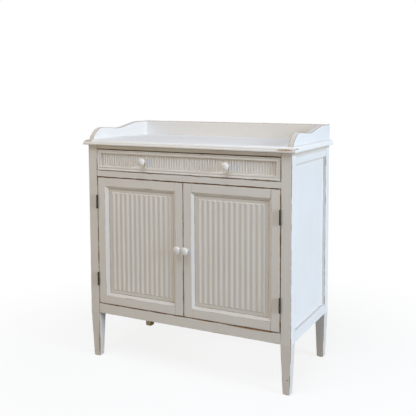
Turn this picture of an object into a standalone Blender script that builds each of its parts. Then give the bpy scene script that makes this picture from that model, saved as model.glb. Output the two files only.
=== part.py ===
"""A painted two-door sideboard with one drawer, fluted fronts, tapered legs and a low curved gallery.

Metres, +Z up. The front faces -Y, left is -X. The origin is on the floor, under the middle of the whole object.
"""

import math

import bmesh
import bpy
from mathutils import Vector

# Carcass
BODY_WIDTH = 0.862
BODY_DEPTH = 0.410
BODY_HEIGHT = 0.8615
LEG_SIZE = 0.040
FOOT_SIZE = 0.0265
GLIDE_HEIGHT = 0.003
GLIDE_RADIUS = 0.0085
UNDER_RAIL_HEIGHT = 0.1855
RAIL_THICKNESS = 0.022

# Front rails and the gaps round the doors and the drawer
TOP_RAIL_HEIGHT = 0.0150
MIDDLE_RAIL_HEIGHT = 0.0237
MIDDLE_RAIL_DEPTH = 0.050
BOTTOM_RAIL_HEIGHT = 0.039
FRONT_GAP = 0.003
SIDE_GAP = 0.0022
MEETING_GAP = 0.0022

# Sides, back, floor and shelf
SIDE_TOP_RAIL_HEIGHT = 0.0435
SIDE_RECESS = 0.012
SIDE_PANEL_THICKNESS = 0.007
BACK_PANEL_THICKNESS = 0.008
BACK_PANEL_INSET = 0.006
SIDE_BOTTOM_RAIL_THICKNESS = 0.028
FLOOR_THICKNESS = 0.014
TONGUE = 0.008
SHELF_THICKNESS = 0.018
SHELF_UNDERSIDE = 0.470
SHELF_SETBACK = 0.045
SHELF_PLAY = 0.0007
CLEAT_WIDTH = 0.018
CLEAT_HEIGHT = 0.020
CLEAT_SETBACK = 0.024

# Top board and gallery
TOP_SIDE_OVERHANG = 0.017
TOP_FRONT_OVERHANG = 0.0135
TOP_LIP_HEIGHT = 0.0065
TOP_EDGE_STEP = 0.0018
TOP_EDGE_ROUND = 0.0105
TOP_CROWN_HEIGHT = 0.0127
TOP_ROUND_STEPS = 5
GALLERY_THICKNESS = 0.019
GALLERY_BACK_HEIGHT = 0.0592
GALLERY_SETBACK = 0.0074
GALLERY_SPREAD = 0.0015
GALLERY_NOSE_HEIGHT = 0.0453
GALLERY_NOSE_LENGTH = 0.062
GALLERY_DIP_HEIGHT = 0.0383
GALLERY_DIP_PLACE = 0.168
GALLERY_RISE_PLACE = 0.326
GALLERY_CURVE_STEPS = 7

# Drawer
DRAWER_FRONT_HEIGHT = 0.0803
DRAWER_FRONT_THICKNESS = 0.020
DRAWER_SIDE_THICKNESS = 0.012
DRAWER_SIDE_DROP = 0.005
DRAWER_SIDE_CLEARANCE = 0.0012
DRAWER_BACK_THICKNESS = 0.012
DRAWER_BOTTOM_THICKNESS = 0.006
DRAWER_BOTTOM_RISE = 0.009
DRAWER_TONGUE = 0.005
DRAWER_LIP = 0.001
DRAWER_SLOPE_WIDTH = 0.0055
DRAWER_SLOPE_DEPTH = 0.003
DRAWER_VALLEY_WIDTH = 0.0008
DRAWER_BEAD_FLANK = 0.0032
DRAWER_BEAD_RISE = 0.0012
DRAWER_BEAD_WIDTH = 0.0025
DRAWER_STEP_WIDTH = 0.0045
DRAWER_PANEL_DEPTH = 0.0052
REED_PITCH = 0.01085
REED_HEIGHT = 0.0016
RUNNER_WIDTH = 0.030
RUNNER_HEIGHT = 0.020

# Doors
DOOR_THICKNESS = 0.020
STILE_WIDTH = 0.035
BEVEL_START = 0.0333
BEVEL_WIDTH = 0.0107
BEVEL_DEPTH = 0.0058
MOULDING_FOOT = 0.0007
DOOR_PANEL_THICKNESS = 0.008
FIELD_SIDE_BORDER = 0.0163
FIELD_TOP_BORDER = 0.0131
FIELD_BOTTOM_BORDER = 0.0146
FIELD_RISE = 0.0026
FIELD_LAND = 0.0036
DOOR_FLUTE_PITCH = 0.02165
DOOR_FLUTE_DEPTH = 0.0019
FLUTE_STEPS = 8
REED_STEPS = 4
FLUTE_SHARPNESS_SHARE = 2.0

# Knobs
KNOB_RADIUS = 0.0145
KNOB_HEAD_HALF_LENGTH = 0.0070
KNOB_HEAD_CENTRE = 0.0190
KNOB_NECK_RADIUS = 0.0065
KNOB_NECK_LENGTH = 0.0045
KNOB_NECK_TOP = 0.0090
KNOB_ROSE_RADIUS = 0.0100
KNOB_ROSE_LENGTH = 0.0018
KNOB_DOWEL_RADIUS = 0.004
KNOB_DOWEL_LENGTH = 0.012
KNOB_TURN_STEPS = 18
KNOB_HEAD_STEPS = 9
KNOB_HEAD_END_SHARE = 0.78
KNOB_FLATNESS_SHARE = 0.77
DOOR_KNOB_RISE = 0.0020
DOOR_KNOB_INSET = 0.0150
DRAWER_KNOB_PLACE = 0.1775
DRAWER_KNOB_SHIFT = 0.0050
DRAWER_KNOB_RISE = 0.0010

# Hinges, catch and strikes
HINGE_LENGTH = 0.054
HINGE_INSET = 0.0975
KNUCKLE_RADIUS = 0.0040
PIN_RADIUS = 0.0016
LEAF_THICKNESS = 0.0012
LEAF_WIDTH = 0.018
LEAF_GAP = 0.0004
HINGE_SIDES = 14
CATCH_WIDTH = 0.048
CATCH_HEIGHT = 0.012
CATCH_DEPTH = 0.024
STRIKE_WIDTH = 0.018
STRIKE_HEIGHT = 0.010
STRIKE_THICKNESS = 0.001
STRIKE_INSET = 0.0022

# The gap between pieces that touch, and how far a cutter runs past what it cuts
TOUCH = 0.0003
OVERRUN = 0.002

# Finishes: colour, roughness, metallic
PAINT = ("cream_paint", (0.80, 0.775, 0.735), 0.55, 0.0)
BARE_WOOD = ("bare_wood", (0.52, 0.39, 0.26), 0.7, 0.0)
DARK_STEEL = ("dark_steel", (0.06, 0.05, 0.04), 0.45, 0.9)
BRIGHT_STEEL = ("bright_steel", (0.62, 0.61, 0.59), 0.35, 1.0)
BLACK_PLASTIC = ("black_plastic", (0.03, 0.03, 0.03), 0.5, 0.0)

# Levels and planes worked out from the sizes above
KNOB_REACH = KNOB_HEAD_CENTRE + KNOB_HEAD_HALF_LENGTH
FRONT = (max(KNOB_REACH, TOP_FRONT_OVERHANG) - BODY_DEPTH) / 2
BACK = FRONT + BODY_DEPTH
SIDE = BODY_WIDTH / 2
LEG_FACE = SIDE - LEG_SIZE
LEG_BASE = GLIDE_HEIGHT + TOUCH
TOP_BASE = BODY_HEIGHT + TOUCH
TOP_SURFACE = TOP_BASE + TOP_LIP_HEIGHT + TOP_CROWN_HEIGHT
BOTTOM_RAIL_TOP = UNDER_RAIL_HEIGHT + BOTTOM_RAIL_HEIGHT
DOOR_BASE = BOTTOM_RAIL_TOP + FRONT_GAP
TOP_RAIL_BASE = BODY_HEIGHT - TOP_RAIL_HEIGHT
DRAWER_TOP = TOP_RAIL_BASE - FRONT_GAP
DRAWER_BASE = DRAWER_TOP - DRAWER_FRONT_HEIGHT
MIDDLE_RAIL_TOP = DRAWER_BASE - FRONT_GAP
MIDDLE_RAIL_BASE = MIDDLE_RAIL_TOP - MIDDLE_RAIL_HEIGHT
DOOR_TOP = MIDDLE_RAIL_BASE - FRONT_GAP
DOOR_EDGE = LEG_FACE - SIDE_GAP
HINGE_X = (LEG_FACE + DOOR_EDGE) / 2
HINGE_Y = FRONT - KNUCKLE_RADIUS - TOUCH
BACK_PANEL_FRONT = BACK - BACK_PANEL_INSET - BACK_PANEL_THICKNESS
DOOR_PANEL_FACE = BEVEL_DEPTH + MOULDING_FOOT + TOUCH
KNOB_HEIGHT = (DOOR_BASE + DOOR_TOP) / 2 + DOOR_KNOB_RISE

SIDES = (("left", -1), ("right", 1))

for leftover in list(bpy.data.objects):
    bpy.data.objects.remove(leftover)

parts = bpy.data.collections.new("sideboard")
cutters = bpy.data.collections.new("cutters")
for group in (parts, cutters):
    bpy.context.scene.collection.children.link(group)


def empty(name, location):
    """A carrier for the pieces that move together, on their joint's axis."""
    carrier = bpy.data.objects.new(name, None)
    carrier.location = location
    parts.objects.link(carrier)
    return carrier


def finish_of(finish):
    """The Principled material of one finish, made once."""
    name, colour, roughness, metallic = finish
    material = bpy.data.materials.get(name)
    if material is None:
        material = bpy.data.materials.new(name)
        material.use_nodes = True
        shader = material.node_tree.nodes["Principled BSDF"]
        shader.inputs["Base Color"].default_value = (*colour, 1)
        shader.inputs["Roughness"].default_value = roughness
        shader.inputs["Metallic"].default_value = metallic
        material.diffuse_color = (*colour, 1)
    return material


def add_piece(name, mesh, location, finish, carrier):
    """One sub-part, carried by an empty, at a place in the world."""
    piece = bpy.data.objects.new(name, mesh)
    mesh.materials.append(finish_of(finish))
    piece.parent = carrier
    piece.location = Vector(location) - carrier.location
    parts.objects.link(piece)
    return piece


def add_cutter(name, mesh, location):
    """A shape that only cuts or joins another."""
    cutter = bpy.data.objects.new(name, mesh)
    cutter.location = location
    cutter.hide_render = True
    cutter.display_type = "WIRE"
    cutters.objects.link(cutter)
    return cutter


def mesh_from(name, bm):
    mesh = bpy.data.meshes.new(name)
    bm.to_mesh(mesh)
    bm.free()
    return mesh


def box_mesh(name, low, high):
    bm = bmesh.new()
    bmesh.ops.create_cube(bm, size=1)
    bmesh.ops.scale(bm, vec=Vector(high) - Vector(low), verts=bm.verts)
    return mesh_from(name, bm)


def middle(low, high):
    return (Vector(low) + Vector(high)) / 2


def board(name, low, high, finish=PAINT, carrier=None):
    return add_piece(name, box_mesh(name, low, high), middle(low, high), finish, carrier or carcass)


def box_cutter(name, low, high, grow=0):
    """A box that cuts, grown all round by the gap that the piece in it keeps."""
    margin = Vector((grow, grow, grow))
    low = Vector(low) - margin
    high = Vector(high) + margin
    return add_cutter(name, box_mesh(name, low, high), middle(low, high))


def combine(target, tool, operation):
    modifier = target.modifiers.new(tool.name, "BOOLEAN")
    modifier.operation = operation
    modifier.object = tool
    modifier.solver = "EXACT"


def cut(tool, *targets):
    for target in targets:
        combine(target, tool, "DIFFERENCE")


def join(target, tool):
    combine(target, tool, "UNION")


def round_cutter(name, radius, length, centre, axis="Z"):
    """A plain cylinder along Z or Y."""
    bm = bmesh.new()
    bmesh.ops.create_cone(
        bm, cap_ends=True, segments=HINGE_SIDES, radius1=radius, radius2=radius, depth=length
    )
    cutter = add_cutter(name, mesh_from(name, bm), centre)
    if axis == "Y":
        cutter.rotation_euler = (math.pi / 2, 0, 0)
    return cutter


def smooth(mesh, angle):
    mesh.shade_smooth()
    mesh.set_sharp_from_angle(angle=angle)


def poly_outline(name, points, half_length):
    """A flat outline in X and Y, filled and extruded both ways along Z, as a welded mesh."""
    curve = bpy.data.curves.new(name, "CURVE")
    curve.dimensions = "2D"
    curve.fill_mode = "BOTH"
    curve.extrude = half_length
    spline = curve.splines.new("POLY")
    spline.points.add(len(points) - 1)
    for point, (across, deep) in zip(spline.points, points):
        point.co = (across, deep, 0, 1)
    spline.use_cyclic_u = True
    return mesh_of_curve(name, curve)


def mesh_of_curve(name, curve):
    """The curve's evaluated mesh, with its loose caps welded on."""
    guide = bpy.data.objects.new(name + "_guide", curve)
    cutters.objects.link(guide)
    graph = bpy.context.evaluated_depsgraph_get()
    mesh = bpy.data.meshes.new_from_object(guide.evaluated_get(graph))
    mesh.name = name
    mesh.materials.clear()
    bpy.data.objects.remove(guide)
    bm = bmesh.new()
    bm.from_mesh(mesh)
    bmesh.ops.remove_doubles(bm, verts=bm.verts, dist=TOUCH / 10)
    bmesh.ops.recalc_face_normals(bm, faces=bm.faces)
    bm.to_mesh(mesh)
    bm.free()
    return mesh


def run_across(width, pitch, steps, depth_at):
    """Points across as many equal waves as fit the width, centred on zero. depth_at takes a share of one wave."""
    count = int(width / pitch)
    first = -count * pitch / 2
    points = []
    for step in range(count * steps + 1):
        place = step / steps
        points.append((first + place * pitch, depth_at(place % 1)))
    return points


def flute_depth(share):
    """A hollow flute between two rounded ridges, which lie at depth zero."""
    return DOOR_FLUTE_DEPTH * math.sin(math.pi * share) ** FLUTE_SHARPNESS_SHARE


def reed_depth(share):
    """A rounded reed between two sharp grooves: an arc that is shallow enough to be a parabola."""
    from_crown = 2 * share - 1
    return REED_HEIGHT * from_crown**2


# Carriers, each on the axis of its joint

carcass = empty("carcass", (0, 0, 0))
drawer = empty("drawer", (0, FRONT, (DRAWER_BASE + DRAWER_TOP) / 2))
doors = {
    side: empty(side + "_door", (sign * HINGE_X, HINGE_Y, (DOOR_BASE + DOOR_TOP) / 2))
    for side, sign in SIDES
}


# Legs with their glides


def tapered_leg(name, x, y):
    """A square post that narrows on all four sides below the rails."""
    low = (x - LEG_SIZE / 2, y - LEG_SIZE / 2, LEG_BASE)
    high = (x + LEG_SIZE / 2, y + LEG_SIZE / 2, BODY_HEIGHT)
    mesh = box_mesh(name, low, high)
    centre = middle(low, high)
    bm = bmesh.new()
    bm.from_mesh(mesh)
    taper_start = (0, 0, UNDER_RAIL_HEIGHT - centre.z)
    bmesh.ops.bisect_plane(
        bm, geom=bm.verts[:] + bm.edges[:] + bm.faces[:], plane_co=taper_start, plane_no=(0, 0, 1)
    )
    foot = [vert for vert in bm.verts if vert.co.z < taper_start[2] - OVERRUN]
    narrow = FOOT_SIZE / LEG_SIZE
    bmesh.ops.scale(bm, vec=(narrow, narrow, 1), verts=foot)
    bm.to_mesh(mesh)
    bm.free()
    return add_piece(name, mesh, centre, PAINT, carcass)


def glide(name, x, y):
    bm = bmesh.new()
    bmesh.ops.create_cone(
        bm,
        cap_ends=True,
        segments=HINGE_SIDES,
        radius1=GLIDE_RADIUS,
        radius2=GLIDE_RADIUS,
        depth=GLIDE_HEIGHT,
    )
    add_piece(name, mesh_from(name, bm), (x, y, GLIDE_HEIGHT / 2), BLACK_PLASTIC, carcass)


legs = {}
for side, sign in SIDES:
    for end, y in (("front", FRONT + LEG_SIZE / 2), ("back", BACK - LEG_SIZE / 2)):
        x = sign * (SIDE - LEG_SIZE / 2)
        legs[end, side] = tapered_leg(f"{end}_{side}_leg", x, y)
        glide(f"{end}_{side}_glide", x, y)


# Front rails, between the legs

RAIL_END = LEG_FACE - TOUCH
top_front_rail = board(
    "top_front_rail",
    (-RAIL_END, FRONT, TOP_RAIL_BASE),
    (RAIL_END, FRONT + RAIL_THICKNESS, BODY_HEIGHT),
)
middle_front_rail = board(
    "middle_front_rail",
    (-RAIL_END, FRONT, MIDDLE_RAIL_BASE),
    (RAIL_END, FRONT + MIDDLE_RAIL_DEPTH, MIDDLE_RAIL_TOP),
)
bottom_front_rail = board(
    "bottom_front_rail",
    (-RAIL_END, FRONT, UNDER_RAIL_HEIGHT),
    (RAIL_END, FRONT + RAIL_THICKNESS, BOTTOM_RAIL_TOP),
)


# Side frames: two rails and a panel let into grooves

SIDE_RAIL_FRONT = FRONT + LEG_SIZE + TOUCH
SIDE_RAIL_BACK = BACK - LEG_SIZE - TOUCH
SIDE_TOP_RAIL_BASE = BODY_HEIGHT - SIDE_TOP_RAIL_HEIGHT
PANEL_OUTER = SIDE - SIDE_RECESS
PANEL_INNER = PANEL_OUTER - SIDE_PANEL_THICKNESS


def across(sign, near, far):
    """Two distances from the middle, in rising order of X on the given side."""
    return sorted((sign * near, sign * far))


side_bottom_rails = {}
for side, sign in SIDES:
    left, right = across(sign, SIDE - RAIL_THICKNESS, SIDE)
    top_rail = board(
        side + "_side_top_rail",
        (left, SIDE_RAIL_FRONT, SIDE_TOP_RAIL_BASE),
        (right, SIDE_RAIL_BACK, BODY_HEIGHT),
    )
    left, right = across(sign, SIDE - SIDE_BOTTOM_RAIL_THICKNESS, SIDE)
    bottom_rail = board(
        side + "_side_bottom_rail",
        (left, SIDE_RAIL_FRONT, UNDER_RAIL_HEIGHT),
        (right, SIDE_RAIL_BACK, BOTTOM_RAIL_TOP),
    )
    side_bottom_rails[side] = bottom_rail
    left, right = across(sign, PANEL_INNER, PANEL_OUTER)
    low = (left, SIDE_RAIL_FRONT - TONGUE, BOTTOM_RAIL_TOP - TONGUE)
    high = (right, SIDE_RAIL_BACK + TONGUE, SIDE_TOP_RAIL_BASE + TONGUE)
    board(side + "_side_panel", low, high)
    groove = box_cutter(side + "_side_groove", low, high, TOUCH)
    cut(groove, top_rail, bottom_rail, legs["front", side], legs["back", side])


# Back panel, let into the back legs

low = (-LEG_FACE - TONGUE, BACK_PANEL_FRONT, UNDER_RAIL_HEIGHT)
high = (LEG_FACE + TONGUE, BACK_PANEL_FRONT + BACK_PANEL_THICKNESS, BODY_HEIGHT)
board("back_panel", low, high, BARE_WOOD)
cut(box_cutter("back_groove", low, high, TOUCH), legs["back", "left"], legs["back", "right"])


# Cabinet floor, resting in rebates of the front and side bottom rails and notched round the legs

FLOOR_EDGE = PANEL_INNER - TOUCH
low = (-FLOOR_EDGE, FRONT + RAIL_THICKNESS - TONGUE, BOTTOM_RAIL_TOP - FLOOR_THICKNESS)
high = (FLOOR_EDGE, BACK_PANEL_FRONT - TOUCH, BOTTOM_RAIL_TOP)
cabinet_floor = board("cabinet_floor", low, high, BARE_WOOD)
floor_rebate = box_cutter("floor_rebate", low, high, TOUCH)
cut(floor_rebate, bottom_front_rail, side_bottom_rails["left"], side_bottom_rails["right"])
for side, sign in SIDES:
    left, right = across(sign, LEG_FACE, SIDE)
    for end, near, far in (("front", FRONT, FRONT + LEG_SIZE), ("back", BACK - LEG_SIZE, BACK)):
        notch = box_cutter(
            f"{end}_{side}_floor_notch", (left, near, LEG_BASE), (right, far, BODY_HEIGHT), TOUCH
        )
        cut(notch, cabinet_floor)


# Shelf on two cleats, and the drawer's runners, all fixed to the inner faces of the legs

for side, sign in SIDES:
    left, right = across(sign, RAIL_END - CLEAT_WIDTH, RAIL_END)
    board(
        side + "_shelf_cleat",
        (left, FRONT + CLEAT_SETBACK, SHELF_UNDERSIDE - TOUCH - CLEAT_HEIGHT),
        (right, BACK_PANEL_FRONT - TOUCH, SHELF_UNDERSIDE - TOUCH),
        BARE_WOOD,
    )
    left, right = across(sign, RAIL_END - RUNNER_WIDTH, RAIL_END)
    board(
        side + "_drawer_runner",
        (left, FRONT + MIDDLE_RAIL_DEPTH + TOUCH, DRAWER_BASE - TOUCH - RUNNER_HEIGHT),
        (right, BACK_PANEL_FRONT - TOUCH, DRAWER_BASE - TOUCH),
        BARE_WOOD,
    )
board(
    "shelf",
    (-RAIL_END + SHELF_PLAY, FRONT + SHELF_SETBACK, SHELF_UNDERSIDE),
    (RAIL_END - SHELF_PLAY, BACK_PANEL_FRONT - TOUCH, SHELF_UNDERSIDE + SHELF_THICKNESS),
    BARE_WOOD,
)


# Top board: a square lip under a crown that is rounded over on the front and both sides

TOP_SIDE = SIDE + TOP_SIDE_OVERHANG
TOP_FRONT = FRONT - TOP_FRONT_OVERHANG
top_board = board("top_board", (-TOP_SIDE, TOP_FRONT, TOP_BASE), (TOP_SIDE, BACK, TOP_BASE + TOP_LIP_HEIGHT))


def top_crown():
    low = Vector((-TOP_SIDE + TOP_EDGE_STEP, TOP_FRONT + TOP_EDGE_STEP, TOP_BASE + TOP_LIP_HEIGHT / 2))
    high = Vector((TOP_SIDE - TOP_EDGE_STEP, BACK, TOP_SURFACE))
    mesh = box_mesh("top_crown", low, high)
    half = (high - low) / 2
    bm = bmesh.new()
    bm.from_mesh(mesh)
    rounded = []
    for edge in bm.edges:
        centre = (edge.verts[0].co + edge.verts[1].co) / 2
        if centre.z > half.z / 2 and centre.y < half.y / 2:
            rounded.append(edge)
    bmesh.ops.bevel(
        bm,
        geom=rounded,
        offset=TOP_EDGE_ROUND,
        segments=TOP_ROUND_STEPS,
        profile=0.5,
        affect="EDGES",
    )
    bm.to_mesh(mesh)
    bm.free()
    return add_cutter("top_crown", mesh, middle(low, high))


join(top_board, top_crown())


# Gallery: two curved sides and a straight back, standing on the top board

GALLERY_BASE = TOP_SURFACE + TOUCH
GALLERY_OUTER = SIDE + GALLERY_SPREAD
GALLERY_INNER = GALLERY_OUTER - GALLERY_THICKNESS - TOUCH


def gallery_side(side, sign):
    """A flat board whose upper edge is a Bezier curve: a round nose, a shallow dip and a rise to the back."""
    start = FRONT + GALLERY_SETBACK
    nose = Vector((start + GALLERY_NOSE_LENGTH, GALLERY_NOSE_HEIGHT))
    dip = Vector((start + GALLERY_DIP_PLACE, GALLERY_DIP_HEIGHT))
    rise = Vector((start + GALLERY_RISE_PLACE, GALLERY_BACK_HEIGHT))
    foot = Vector((start, 0))
    pull = GALLERY_NOSE_LENGTH / 2
    foot_handle_shares = (1 / 6, 1 / 3)
    nose_handle_share = 0.95
    dip_handle_share = 1.5
    rise_handle_share = 2
    foot_handle = Vector((pull * foot_handle_shares[0], GALLERY_NOSE_HEIGHT * foot_handle_shares[1]))
    knots = (
        (foot, foot, foot + foot_handle),
        (nose, nose - Vector((pull * nose_handle_share, 0)), nose + Vector((pull, 0))),
        (dip, dip - Vector((pull, 0)), dip + Vector((pull * dip_handle_share, 0))),
        (rise, rise - Vector((pull * rise_handle_share, 0)), rise),
        (Vector((BACK, GALLERY_BACK_HEIGHT)),) * 3,
        (Vector((BACK, 0)),) * 3,
    )
    name = "gallery_" + side
    curve = bpy.data.curves.new(name, "CURVE")
    curve.dimensions = "2D"
    curve.fill_mode = "BOTH"
    curve.extrude = GALLERY_THICKNESS / 2
    curve.resolution_u = GALLERY_CURVE_STEPS
    spline = curve.splines.new("BEZIER")
    spline.bezier_points.add(len(knots) - 1)
    for point, (place, before, after) in zip(spline.bezier_points, knots):
        point.handle_left_type = "FREE"
        point.handle_right_type = "FREE"
        point.co = place.to_3d()
        point.handle_left = before.to_3d()
        point.handle_right = after.to_3d()
    spline.use_cyclic_u = True
    mesh = mesh_of_curve(name, curve)
    place = (sign * (GALLERY_OUTER - GALLERY_THICKNESS / 2), 0, GALLERY_BASE)
    piece = add_piece(name, mesh, place, PAINT, carcass)
    piece.rotation_euler = (math.pi / 2, 0, math.pi / 2)


for side, sign in SIDES:
    gallery_side(side, sign)
board(
    "gallery_back",
    (-GALLERY_INNER, BACK - GALLERY_THICKNESS, GALLERY_BASE),
    (GALLERY_INNER, BACK, GALLERY_BASE + GALLERY_BACK_HEIGHT),
)


# Knobs: turned, with a rose, a neck, a flattened round head and a dowel


def knob(name, x, face, z, carrier, *hosts):
    """A knob whose rose stands on the plane y = face, with its dowel in a hole in the piece behind."""
    head_end = math.pi * KNOB_HEAD_END_SHARE
    profile = []
    for step in range(KNOB_HEAD_STEPS + 1):
        turn = head_end * step / KNOB_HEAD_STEPS
        radius = KNOB_RADIUS * math.sin(turn) ** KNOB_FLATNESS_SHARE
        rise = KNOB_HEAD_HALF_LENGTH * abs(math.cos(turn)) ** KNOB_FLATNESS_SHARE
        profile.append((radius, KNOB_HEAD_CENTRE + math.copysign(rise, math.cos(turn))))
    profile += [
        (KNOB_NECK_RADIUS, KNOB_NECK_TOP),
        (KNOB_NECK_RADIUS, KNOB_NECK_LENGTH),
        (KNOB_ROSE_RADIUS, KNOB_ROSE_LENGTH),
        (KNOB_ROSE_RADIUS, TOUCH),
        (KNOB_DOWEL_RADIUS, TOUCH),
        (KNOB_DOWEL_RADIUS, -KNOB_DOWEL_LENGTH),
        (0, -KNOB_DOWEL_LENGTH),
    ]
    bm = bmesh.new()
    corners = [bm.verts.new((radius, 0, height)) for radius, height in profile]
    for first, second in zip(corners, corners[1:]):
        bm.edges.new((first, second))
    piece = add_piece(name, mesh_from(name, bm), (x, face, z), PAINT, carrier)
    piece.rotation_euler = (math.pi / 2, 0, 0)
    turn = piece.modifiers.new("turned", "SCREW")
    turn.steps = KNOB_TURN_STEPS
    turn.render_steps = KNOB_TURN_STEPS
    turn.use_merge_vertices = True
    turn.merge_threshold = TOUCH / 10
    turn.use_smooth_shade = True
    length = KNOB_DOWEL_LENGTH + TOUCH + OVERRUN
    hole_middle = face + KNOB_DOWEL_LENGTH + TOUCH - length / 2
    hole = round_cutter(name + "_hole", KNOB_DOWEL_RADIUS + 2 * TOUCH, length, (x, hole_middle, z), "Y")
    cut(hole, *hosts)


# Drawer

DRAWER_SIDE_OUTER = LEG_FACE - DRAWER_SIDE_CLEARANCE
DRAWER_SIDE_INNER = DRAWER_SIDE_OUTER - DRAWER_SIDE_THICKNESS
DRAWER_INNER_FRONT = FRONT + DRAWER_FRONT_THICKNESS
DRAWER_END = BACK_PANEL_FRONT - TOUCH
DRAWER_SIDE_TOP = DRAWER_TOP - DRAWER_SIDE_DROP
BOTTOM_LOW = DRAWER_BASE + DRAWER_BOTTOM_RISE
BOTTOM_HIGH = BOTTOM_LOW + DRAWER_BOTTOM_THICKNESS
DRAWER_SLOPE_FOOT = DRAWER_LIP + DRAWER_SLOPE_WIDTH
DRAWER_BEAD_START = DRAWER_SLOPE_FOOT + DRAWER_VALLEY_WIDTH
DRAWER_RECESS = DRAWER_BEAD_START + DRAWER_BEAD_FLANK + DRAWER_BEAD_WIDTH + DRAWER_STEP_WIDTH
DRAWER_CREST_DEPTH = DRAWER_SLOPE_DEPTH - DRAWER_BEAD_RISE

drawer_front = board(
    "drawer_front",
    (-DOOR_EDGE, FRONT, DRAWER_BASE),
    (DOOR_EDGE, DRAWER_INNER_FRONT, DRAWER_TOP),
    PAINT,
    drawer,
)


def sloped_block(name, x, half_width, low_z, high_z, rate, start, depth):
    """A block whose four sides spread to the front by rate. It has the given size at its depth."""
    spread = (depth - start) * rate
    half_height = (high_z - low_z) / 2
    half_depth = (depth - start) / 2
    bm = bmesh.new()
    bmesh.ops.create_cube(bm, size=2)
    bmesh.ops.scale(bm, vec=(half_width, half_depth, half_height), verts=bm.verts)
    for vert in bm.verts:
        if vert.co.y < 0:
            vert.co.x += spread * math.copysign(1, vert.co.x)
            vert.co.z += spread * math.copysign(1, vert.co.z)
    place = (x, FRONT + depth - half_depth, (low_z + high_z) / 2)
    return add_cutter(name, mesh_from(name, bm), place)


def cut_slope(name, x, half_width, low_z, high_z, rate, depth, *targets):
    """Cuts down to a depth with four slopes that open to the front."""
    cut(sloped_block(name, x, half_width, low_z, high_z, rate, -OVERRUN, depth), *targets)


cut_slope(
    "drawer_slope",
    0,
    DOOR_EDGE - DRAWER_SLOPE_FOOT,
    DRAWER_BASE + DRAWER_SLOPE_FOOT,
    DRAWER_TOP - DRAWER_SLOPE_FOOT,
    DRAWER_SLOPE_WIDTH / DRAWER_SLOPE_DEPTH,
    DRAWER_SLOPE_DEPTH,
    drawer_front,
)
bead_rate = DRAWER_BEAD_FLANK / DRAWER_BEAD_RISE
bead_foot = DRAWER_BEAD_START - OVERRUN * bead_rate
drawer_bead = sloped_block(
    "drawer_bead",
    0,
    DOOR_EDGE - bead_foot,
    DRAWER_BASE + bead_foot,
    DRAWER_TOP - bead_foot,
    -bead_rate,
    DRAWER_CREST_DEPTH,
    DRAWER_SLOPE_DEPTH + OVERRUN,
)
join(drawer_front, drawer_bead)
cut_slope(
    "drawer_step",
    0,
    DOOR_EDGE - DRAWER_RECESS,
    DRAWER_BASE + DRAWER_RECESS,
    DRAWER_TOP - DRAWER_RECESS,
    DRAWER_STEP_WIDTH / (DRAWER_PANEL_DEPTH - DRAWER_CREST_DEPTH),
    DRAWER_PANEL_DEPTH,
    drawer_front,
)


def reeded_floor():
    """The reeded floor of the drawer front's recess, as one cutter with a wavy back."""
    half_width = DOOR_EDGE - DRAWER_RECESS
    run = run_across(2 * half_width, REED_PITCH, REED_STEPS, reed_depth)
    outline = [(x, DRAWER_PANEL_DEPTH + deep) for x, deep in run]
    first, last = outline[0][0], outline[-1][0]
    outline += [(last, 0), (first, 0)]
    half_height = DRAWER_FRONT_HEIGHT / 2 - DRAWER_RECESS
    mesh = poly_outline("reeded_floor", outline, half_height)
    return add_cutter("reeded_floor", mesh, (0, FRONT, (DRAWER_BASE + DRAWER_TOP) / 2))


cut(reeded_floor(), drawer_front)

low = (-DRAWER_SIDE_INNER - DRAWER_TONGUE, DRAWER_INNER_FRONT - DRAWER_TONGUE, BOTTOM_LOW)
high = (DRAWER_SIDE_INNER + DRAWER_TONGUE, DRAWER_END - TOUCH, BOTTOM_HIGH)
board("drawer_bottom", low, high, BARE_WOOD, drawer)
bottom_groove = box_cutter("drawer_bottom_groove", low, high, TOUCH)
cut(bottom_groove, drawer_front)
for side, sign in SIDES:
    left, right = across(sign, DRAWER_SIDE_INNER, DRAWER_SIDE_OUTER)
    drawer_side = board(
        f"drawer_{side}_side",
        (left, DRAWER_INNER_FRONT + TOUCH, DRAWER_BASE),
        (right, DRAWER_END, DRAWER_SIDE_TOP),
        BARE_WOOD,
        drawer,
    )
    cut(bottom_groove, drawer_side)
    knob_x = sign * DRAWER_KNOB_PLACE + DRAWER_KNOB_SHIFT
    knob_face = FRONT + DRAWER_PANEL_DEPTH
    knob_z = (DRAWER_BASE + DRAWER_TOP) / 2 + DRAWER_KNOB_RISE
    knob(f"drawer_{side}_knob", knob_x, knob_face, knob_z, drawer, drawer_front)
board(
    "drawer_back",
    (-DRAWER_SIDE_INNER + TOUCH, DRAWER_END - DRAWER_BACK_THICKNESS, BOTTOM_HIGH + TOUCH),
    (DRAWER_SIDE_INNER - TOUCH, DRAWER_END, DRAWER_SIDE_TOP),
    BARE_WOOD,
    drawer,
)


# Hinges: each has a frame leaf with two knuckles and the pin, and a door leaf with the middle knuckle


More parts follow.
